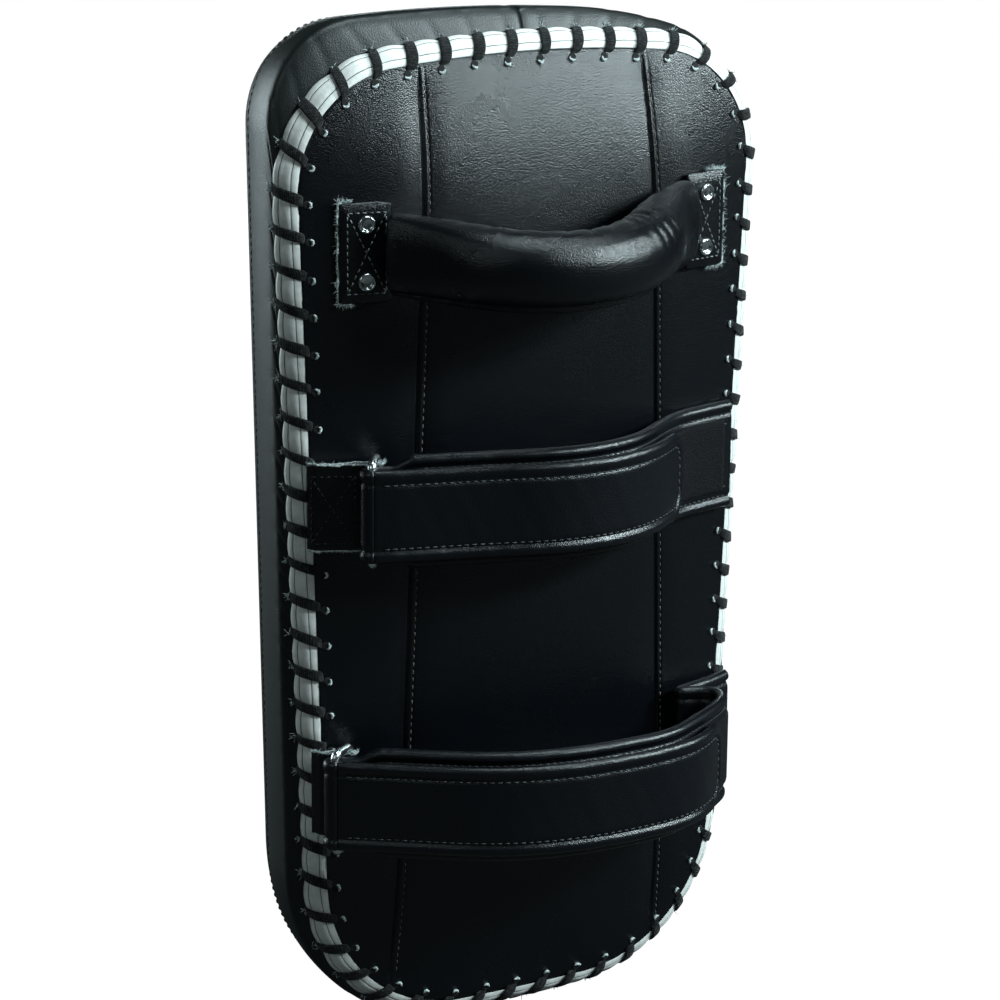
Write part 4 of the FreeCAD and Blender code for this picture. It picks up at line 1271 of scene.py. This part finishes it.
grip_points, grip_side = grip_surface(110)
grip = surface("grip_skin", grip_points, loop_columns=True, inner=(0, 0, 0.318), merge=0.00008)
grip_skin_points = points_of(grip.data)
low_side = grip_skin_points[:, 2] < 0.3055
far_ends = np.abs(grip_skin_points[:, 0]) > 0.058
inflate(grip, low_side | far_ends, 4, 0.0006)
fit_piece(grip, grip_leather, "pad", "leather", "handle_grip")
turn = np.arange(24) / 24 * 2 * np.pi
core_half_thick = 0.0016
core_half_tall = 0.0085
core_out = np.sign(np.cos(turn)) * np.abs(np.cos(turn)) ** 0.4 * core_half_thick
core_up = np.sign(np.sin(turn)) * np.abs(np.sin(turn)) ** 0.4 * core_half_tall
core_rows = grip_line[6:-6:4]
core_wide = grip_side[6:-6:4, None] * core_out[:, None]
core_points = core_rows[:, None] + core_wide + core_up[:, None] * [0, 0, 1.0]
core_points[[0, -1]] = core_rows[[0, -1], None] + (core_points[[0, -1]] - core_rows[[0, -1], None]) * 0.02
core = surface("handle_core_strap", core_points, loop_columns=True, inner=(0, 0, 0.318))
fit_piece(core, webbing, "pad", "webbing", "handle_core")
lip_row = np.argmin(grip_points[..., 2], axis=1)
lip_edge = np.take_along_axis(grip_points, lip_row[:, None, None], axis=1)[:, 0]
lip_stitch = lip_edge + grip_side * 0.0015 + [0, 0, 0.0021]
stitches("grip_seam_stitches", np.hstack([lip_stitch, grip_side])[8:-8], long_stitch, beige_thread)

# ---------------------------------------------------------------- ring tabs
# At the left of each strap a strip of leather with raw white edges is sewn to
# the panel, with a box and a cross, and folded round the ring's bar.

# Plan points are in millimetres from the lace plane. The lower strap hides the
# stitches of its own ring tab, so they are left out.
strap_plans = {
    "upper": dict(
        tab_rows={
            "box": [(0.10, 0.78), (0.82, 0.78), (0.82, -0.78), (0.10, -0.78), (0.10, 0.78), (0.82, -0.78)],
            "cross": [(0.10, -0.78), (0.82, 0.78)]},
        loop_end=0.97,
        middle=0.222, tab_bar=(-71.5, -11.3), strap_bar=(-78.2, -20.2), tab_root=(-93.3, -3.8),
        flap=[(-78, -23.7), (-58.5, -29.5), (-33, -37), (-12, -43.5), (8, -45), (37, -35.5), (57, -19.5)],
        anchor=[(62, -11.8), (72, -8.6), (90, -4.2)]),
    "lower": dict(
        tab_rows={},
        loop_end=0.80,
        middle=0.109, tab_bar=(-81.5, -8), strap_bar=(-90.7, -13.9), tab_root=(-92, -3.4),
        flap=[(-90.5, -17.4), (-72, -30.5), (-41, -51.5), (-15, -60), (14, -62), (46, -55.5), (64, -41)],
        anchor=[(70, -32.5), (75.5, -25), (72.5, -17), (64, -13.2), (71, -10.6), (82, -7.2), (92, -3.2)]),
}
ring_tab_stitch = (0.0026, 0.0018, 0.00025)
ring_wire = 0.00175
tab_half_height = 0.0165
tab_rise = 0.0008
eye_wall = 0.0013


def in_plan(points):
    """Plan points given in millimetres from the lace plane, as x and y."""
    return np.array(points, float) / 1000 + [0, back_plane]


def on_band(line, middle, along, up, out):
    """Points near a band's middle line: so far along it, up, and out towards the holder."""
    step = np.linalg.norm(line[1] - line[0])
    at = (along + 0 * up) / step
    way = unit(np.gradient(line, axis=0))
    first = np.clip(at.astype(int), 0, len(line) - 2)
    part = at - first
    place = line[first] + (line[first + 1] - line[first]) * part[..., None]
    heading = way[first] + (way[first + 1] - way[first]) * np.clip(part, 0, 1)[..., None]
    heading = unit(heading)
    x = place[..., 0] + heading[..., 1] * out
    y = place[..., 1] - heading[..., 0] * out
    outward = np.stack([heading[..., 1], -heading[..., 0], 0 * x], -1)
    return np.stack([x, y, middle + up + 0 * x], -1), outward


def tab_loop(root, bar):
    """The ring tab's outer face in plan: root to bar, half round the bar, and back."""
    back = (root - bar) / np.linalg.norm(root - bar)
    out = np.array([-back[1], back[0]])
    eye = ring_wire + eye_wall
    angle = np.linspace(0, np.pi, 25)[:, None]
    bend = bar + out * np.cos(angle) * eye - back * np.sin(angle) * eye
    buried = root + back * 0.003 - out * 0.0022
    front = np.concatenate([buried[None], np.linspace(root + out * 0.0008, bend[0], 14)[:-1]])
    rear = np.linspace(bend[-1], root - out * 0.0012, 14)[1:]
    return even_line(np.concatenate([front, bend, rear]), 80)


for name, plan in strap_plans.items():
    loop = tab_loop(in_plan(plan["tab_root"]), in_plan(plan["tab_bar"]))
    run = np.linspace(0, np.linalg.norm(np.diff(loop, axis=0), axis=1).sum(), 80)
    up = np.linspace(-1, 1, 31)
    uneven = 1 + 0.016 * ragged(run[:, None], 50) * np.abs(up) ** 6 * np.sign(up)
    skin = np.stack([loop[:, None, 0] + 0 * up, loop[:, None, 1] + 0 * up,
                     plan["middle"] + tab_rise + tab_half_height * up * uneven], -1)
    centre = in_plan(plan["tab_bar"])
    tab = surface(name + "_ring_tab_skin", skin, inner=(centre[0], centre[1], plan["middle"]))
    thicken(tab, 0.0010)
    tab.modifiers["thickness"].material_offset_rim = 1
    fit_piece(tab, panel_leather, "pad", "leather", name + "_ring_tab")
    tab.data.materials.append(torn_white)
    for side, label, thick, fluff in ((1, "top", 0.00050, 0.0014), (-1, "low", 0.00022, 0.0008)):
        rim_height = np.full(80, plan["middle"] + tab_rise + side * tab_half_height)
        place = even_line(np.stack([loop[:, 0], loop[:, 1], rim_height], -1)[:46], 120)
        path = np.hstack([place, np.tile([0, -0.25, side * 0.9], (120, 1))])
        torn_edge(name + "_ring_tab_" + label, path, thick, 60 + side + len(name), 2, fluff)
    reach = np.linalg.norm(in_plan(plan["tab_root"]) - in_plan(plan["tab_bar"]))
    for part, spots in plan["tab_rows"].items():
        path = corners_to_path(np.array(spots) * [reach, tab_half_height], 30)
        place, out = on_band(loop, plan["middle"], path[:, 0], path[:, 1], 0.0)
        stitches(name + "_ring_tab_" + part, np.hstack([place, out]), ring_tab_stitch, dark_thread)

# ---------------------------------------------------------------- rings
# Each strap turns round a rectangular ring. It is bent from chromed wire, with
# its long sides upright: one in the tab's fold and one in the strap's.

ring_half_height = 0.0196
ring_corner = 0.0042


def wire_ring(tab_bar, strap_bar, middle):
    """A wire loop round the pad's ring: a rounded rectangle swept with a circle."""
    across = strap_bar - tab_bar
    wide = np.linalg.norm(across)
    side = np.array([*(across / wide), 0])
    turn = np.linspace(0, 2 * np.pi, 97)[:-1]
    spread = np.sign(np.cos(turn)) * (wide / 2 - ring_corner * 0.6)
    rise = np.sign(np.sin(turn)) * (ring_half_height - ring_corner * 0.6)
    flat = np.stack([spread + 0.6 * ring_corner * np.cos(turn), rise + 0.6 * ring_corner * np.sin(turn)], -1)
    flat = even_line(np.vstack([flat, flat[:1]]), 161)[:-1]
    centre = np.array([*((tab_bar + strap_bar) / 2), middle])
    up = np.array([0, 0, 1.0])
    line = centre + flat[:, :1] * side + flat[:, 1:] * up
    way = unit(np.roll(line, -1, axis=0) - np.roll(line, 1, axis=0))
    face = np.cross(side, up)
    angle = np.arange(18) / 18 * 2 * np.pi
    offset = face * np.cos(angle)[:, None] + np.cross(way, face)[:, None] * np.sin(angle)[:, None]
    return line[:, None] + offset * ring_wire


for name, plan in strap_plans.items():
    points = wire_ring(in_plan(plan["tab_bar"]), in_plan(plan["strap_bar"]), plan["middle"])
    mesh_points = points.transpose(1, 0, 2)
    ring = surface(name + "_ring_wire", mesh_points, loop_rows=True, loop_columns=True, inner=(0, 0.5, 0.2))
    fit_piece(ring, chrome, "pad", "wire", name + "_ring")

# ---------------------------------------------------------------- straps
# Each forearm strap is a padded band with rolled, stitched borders. Its thin
# left end turns round the ring; its right end is sewn into the panel's edge.
# The closing flap lies on it, with a hook patch against the strap's loops.

strap_blacks = (0.0012, 0.0020, 0.0036), (0.0020, 0.0032, 0.0050)
strap_leather = leather("strap_leather", *strap_blacks, 0.30, 0.50, 1900, 0.00009)
strap_stitch = (0.0027, 0.0019, 0.00024)
strap_border = 0.0047
strap_half = 0.0218
flap_half = 0.01775
fold_radius = 0.00315
fold_end = math.radians(262)
band_gap = 0.0059


def rolled(inside, border, thick):
    """Half the thickness of a padded band at a distance inside its edge.

    First the rolled border, half an ellipse high; then the groove under the
    stitches; then the padding, which rises from it over two millimetres."""
    roll = np.sqrt(np.clip(1 - (2 * inside / border - 1) ** 2, 0, 1)) * (thick + 0.0004)
    waist = thick * 0.52
    rise = np.clip((inside - border) / 0.0022, 0, 1)
    padding = waist + (thick - waist) * np.sin(rise * np.pi / 2)
    return np.where(inside < border / 2, roll, np.where(inside < border, np.maximum(roll, waist), padding))


def strap_line(plan):
    """The strap's middle line in plan: round the ring, beside the flap, down to the edge."""
    bar = in_plan(plan["strap_bar"])
    gap = in_plan(plan["tab_bar"]) - bar
    first = math.atan2(gap[1], gap[0])
    angle = np.linspace(fold_end, first, 30)
    fold = bar + fold_radius * np.stack([np.cos(angle), np.sin(angle)], -1)
    over = smooth_line(in_plan(plan["flap"]), 101)
    way = unit(np.gradient(over, axis=0))
    under = (over + np.stack([-way[:, 1], way[:, 0]], -1) * band_gap)[20::12]
    strap = smooth_line(np.concatenate([fold[-1:], under, in_plan(plan["anchor"])]), 300)
    fold_length = fold_radius * (fold_end - first)
    return even_line(np.concatenate([fold[:-1], strap]), 400), fold_length


def band_ring(count):
    """Shares across a band, out along its front and back along its rear, crowded at the edges."""
    share = np.sin(np.linspace(-np.pi / 2, np.pi / 2, count))
    return np.concatenate([share, share[-2:0:-1]]), np.concatenate([np.ones(count), -np.ones(count - 2)])


def quilt(along, up, seed):
    """Soft unevenness of a padded band, a fraction of a millimetre."""
    random = np.random.default_rng(seed)
    total = 0 * (along + up)
    for length, tall in ((0.031, 0.05), (0.017, 0.03), (0.009, 0.018)):
        total = total + np.sin(2 * np.pi * (along / length + up / tall + random.random()))
    return total * 0.00003


loop_fuzz, tree, shader = new_material("loop_fuzz", (0.010, 0.011, 0.012), 0.55)
fuzz = pattern(tree, "ShaderNodeTexNoise", 2200, 6.0)
tree.links.new(blend_colours(tree, ramp(tree, fuzz.outputs["Fac"], 0, 1, 0.55, 0.75), (0.003, 0.003, 0.004),
                             (0.018, 0.020, 0.022)), shader.inputs["Base Color"])
shader.inputs["Sheen Weight"].default_value = 0.02
shader.inputs["Specular IOR Level"].default_value = 0.12
add_bump(tree, shader, fuzz.outputs["Fac"], 0.0009)

hook_field, tree, shader = new_material("hook_field", (0.008, 0.008, 0.009), 0.5)
hooks = pattern(tree, "ShaderNodeTexVoronoi", 950)
tree.links.new(blend_colours(tree, hooks.outputs["Distance"], (0.05, 0.055, 0.06), (0.004, 0.004, 0.005)),
               shader.inputs["Base Color"])
add_bump(tree, shader, calculate(tree, "SUBTRACT", 1.0, hooks.outputs["Distance"]), 0.0009)


def patch_slab(name, line, middle, start, end, near, far, half):
    """A touch-fastener patch: a thin slab beside a band's middle line, its rim rounded."""
    share, face = band_ring(15)
    along = np.linspace(start, end, 60)[:, None]
    along = np.concatenate([along[:1], along, along[-1:]])
    full = np.ones(len(along))[:, None]
    full[[0, -1]] = 0
    round_rim = np.sqrt(np.clip(1 - np.abs(share) ** 30, 0, 1)) * full
    out = (near + far) / 2 + (near - far) / 2 * face * round_rim
    points, _ = on_band(line, middle, along, share * half, out)
    inner = tuple(points.mean((0, 1)) + [0, 0.001, 0])
    return surface(name, points, loop_columns=True, inner=inner, merge=0.00003)


for name, plan in strap_plans.items():
    middle = plan["middle"]
    line, fold_length = strap_line(plan)
    length = np.linalg.norm(np.diff(line, axis=0), axis=1).sum()
    along = np.linspace(0, length, 330)[:, None]
    grown = np.clip((along - fold_length - 0.006) / 0.010, 0, 1)
    grown = grown * grown * (3 - 2 * grown)
    half = flap_half + (strap_half - flap_half) * grown
    thick = 0.00115 + 0.00085 * grown
    share, face = band_ring(49)
    up = share * half
    ends = np.minimum(along, length - along) / 0.0008
    closed = np.sqrt(np.clip(1 - (1 - np.clip(ends, 0, 1)) ** 2, 0, 1))
    depth = rolled(half - np.abs(up), strap_border, thick) * closed
    depth = depth + quilt(along, up, 70) * grown * (depth > 0.0012)
    points, _ = on_band(line, middle, along, up, depth * face)
    strap = surface(name + "_strap_skin", points, loop_columns=True, inner=(0, 0.02, middle), merge=0.00003)
    fit_piece(strap, strap_leather, "pad", "webbing", name + "_strap")
    for side in (-1, 1):
        for label, inset, start, yarn in (("border", 0.0052, fold_length + 0.018, grey_thread),
                                          ("second", 0.0090, length - 0.030, beige_thread)):
            run = np.linspace(start, length - 0.003, 240)
            place, out = on_band(line, middle, run, np.full(240, side * (strap_half - inset)),
                                 rolled(inset, strap_border, 0.0020) + 0.00005)
            stitches("_".join((name, "strap", label, "low" if side < 0 else "top")), np.hstack([place, out]),
                     strap_stitch, yarn, slot="webbing")
    loop_start = fold_length + (length - fold_length) * 0.42
    loop_end = fold_length + (length - fold_length) * plan["loop_end"]
    loops = patch_slab(name + "_loop_fuzz", line, middle, loop_start, loop_end, 0.0029, 0.0012, 0.0145)
    fit_piece(loops, loop_fuzz, "pad", "loop", name + "_loop_patch")

# ---------------------------------------------------------------- flaps
# The closing flap is the padded strap's end, folded back over itself. Its
# border is rolled and stitched all round, and its free end has round corners.

flap_stitch = (0.0030, 0.0021, 0.00026)
flap_corner = 0.0125
flap_border = 0.0050
flap_thick = 0.00165
stitch_inset = 0.0056


def flap_inside(along, up, length):
    """Distance inside the flap's outline: a long plate with two rounded corners."""
    past = along - (length - flap_corner)
    over = np.abs(up) - (flap_half - flap_corner)
    corner = np.hypot(np.clip(past, 0, None), np.clip(over, 0, None))
    return flap_corner - corner - np.minimum(np.maximum(past, over), 0)


for name, plan in strap_plans.items():
    middle = plan["middle"]
    line = smooth_line(in_plan(plan["flap"]), 300)
    length = np.linalg.norm(np.diff(line, axis=0), axis=1).sum()
    reach = length + 0.0012
    round_rows = reach - flap_corner + flap_corner * np.sin(np.linspace(0, np.pi / 2, 28))
    hinge_rows = [-0.0016, -0.0014, -0.0010, -0.0005]
    straight_rows = np.linspace(0, reach - flap_corner, 200)[:-1]
    along = np.concatenate([hinge_rows, straight_rows, round_rows])[:, None]
    past = np.clip(along - (reach - flap_corner), 0, flap_corner)
    half = flap_half - flap_corner + np.sqrt(np.clip(flap_corner ** 2 - past ** 2, 0, None))
    share, face = band_ring(57)
    up = share * half
    inside = np.clip(flap_inside(along, up, reach), 0, None)
    hinge = np.sqrt(np.clip(1 - (np.clip(-along, 0, None) / 0.0016) ** 2, 0, 1))
    slim = np.clip(along / 0.008, 0, 1)
    depth = rolled(inside, flap_border, 0.00115 + (flap_thick - 0.00115) * slim) * hinge
    depth = depth + quilt(along, up, 80 + len(name)) * (inside > 0.001) * slim
    points, _ = on_band(line, middle, along, up, depth * face)
    flap = surface(name + "_flap_skin", points, loop_columns=True, inner=(0, 0.02, middle), merge=0.00004)
    fit_piece(flap, strap_leather, name + "_flap", "leather", name + "_flap")
    bend = np.linspace(-np.pi / 2, np.pi / 2, 60)
    bend_radius = flap_corner - stitch_inset
    side = flap_half - stitch_inset
    straight = np.linspace(0.002, reach - flap_corner, 200)
    run = np.concatenate([straight, reach - flap_corner + bend_radius * np.cos(bend), straight[::-1]])
    rise = np.concatenate([np.full(200, -side), np.sin(bend) * bend_radius
                           + np.sign(bend) * (flap_half - flap_corner), np.full(200, side)])
    place, out = on_band(line, middle, run, rise, rolled(stitch_inset, flap_border, flap_thick) + 0.0001)
    stitches(name + "_flap_stitches", np.hstack([place, out]), flap_stitch, grey_thread, body=name + "_flap")
    hooks = patch_slab(name + "_hook_field", line, middle, length * 0.55, length - 0.008,
                       -0.0008, -0.0025, 0.0135)
    fit_piece(hooks, hook_field, name + "_flap", "hook", name + "_hook_patch")
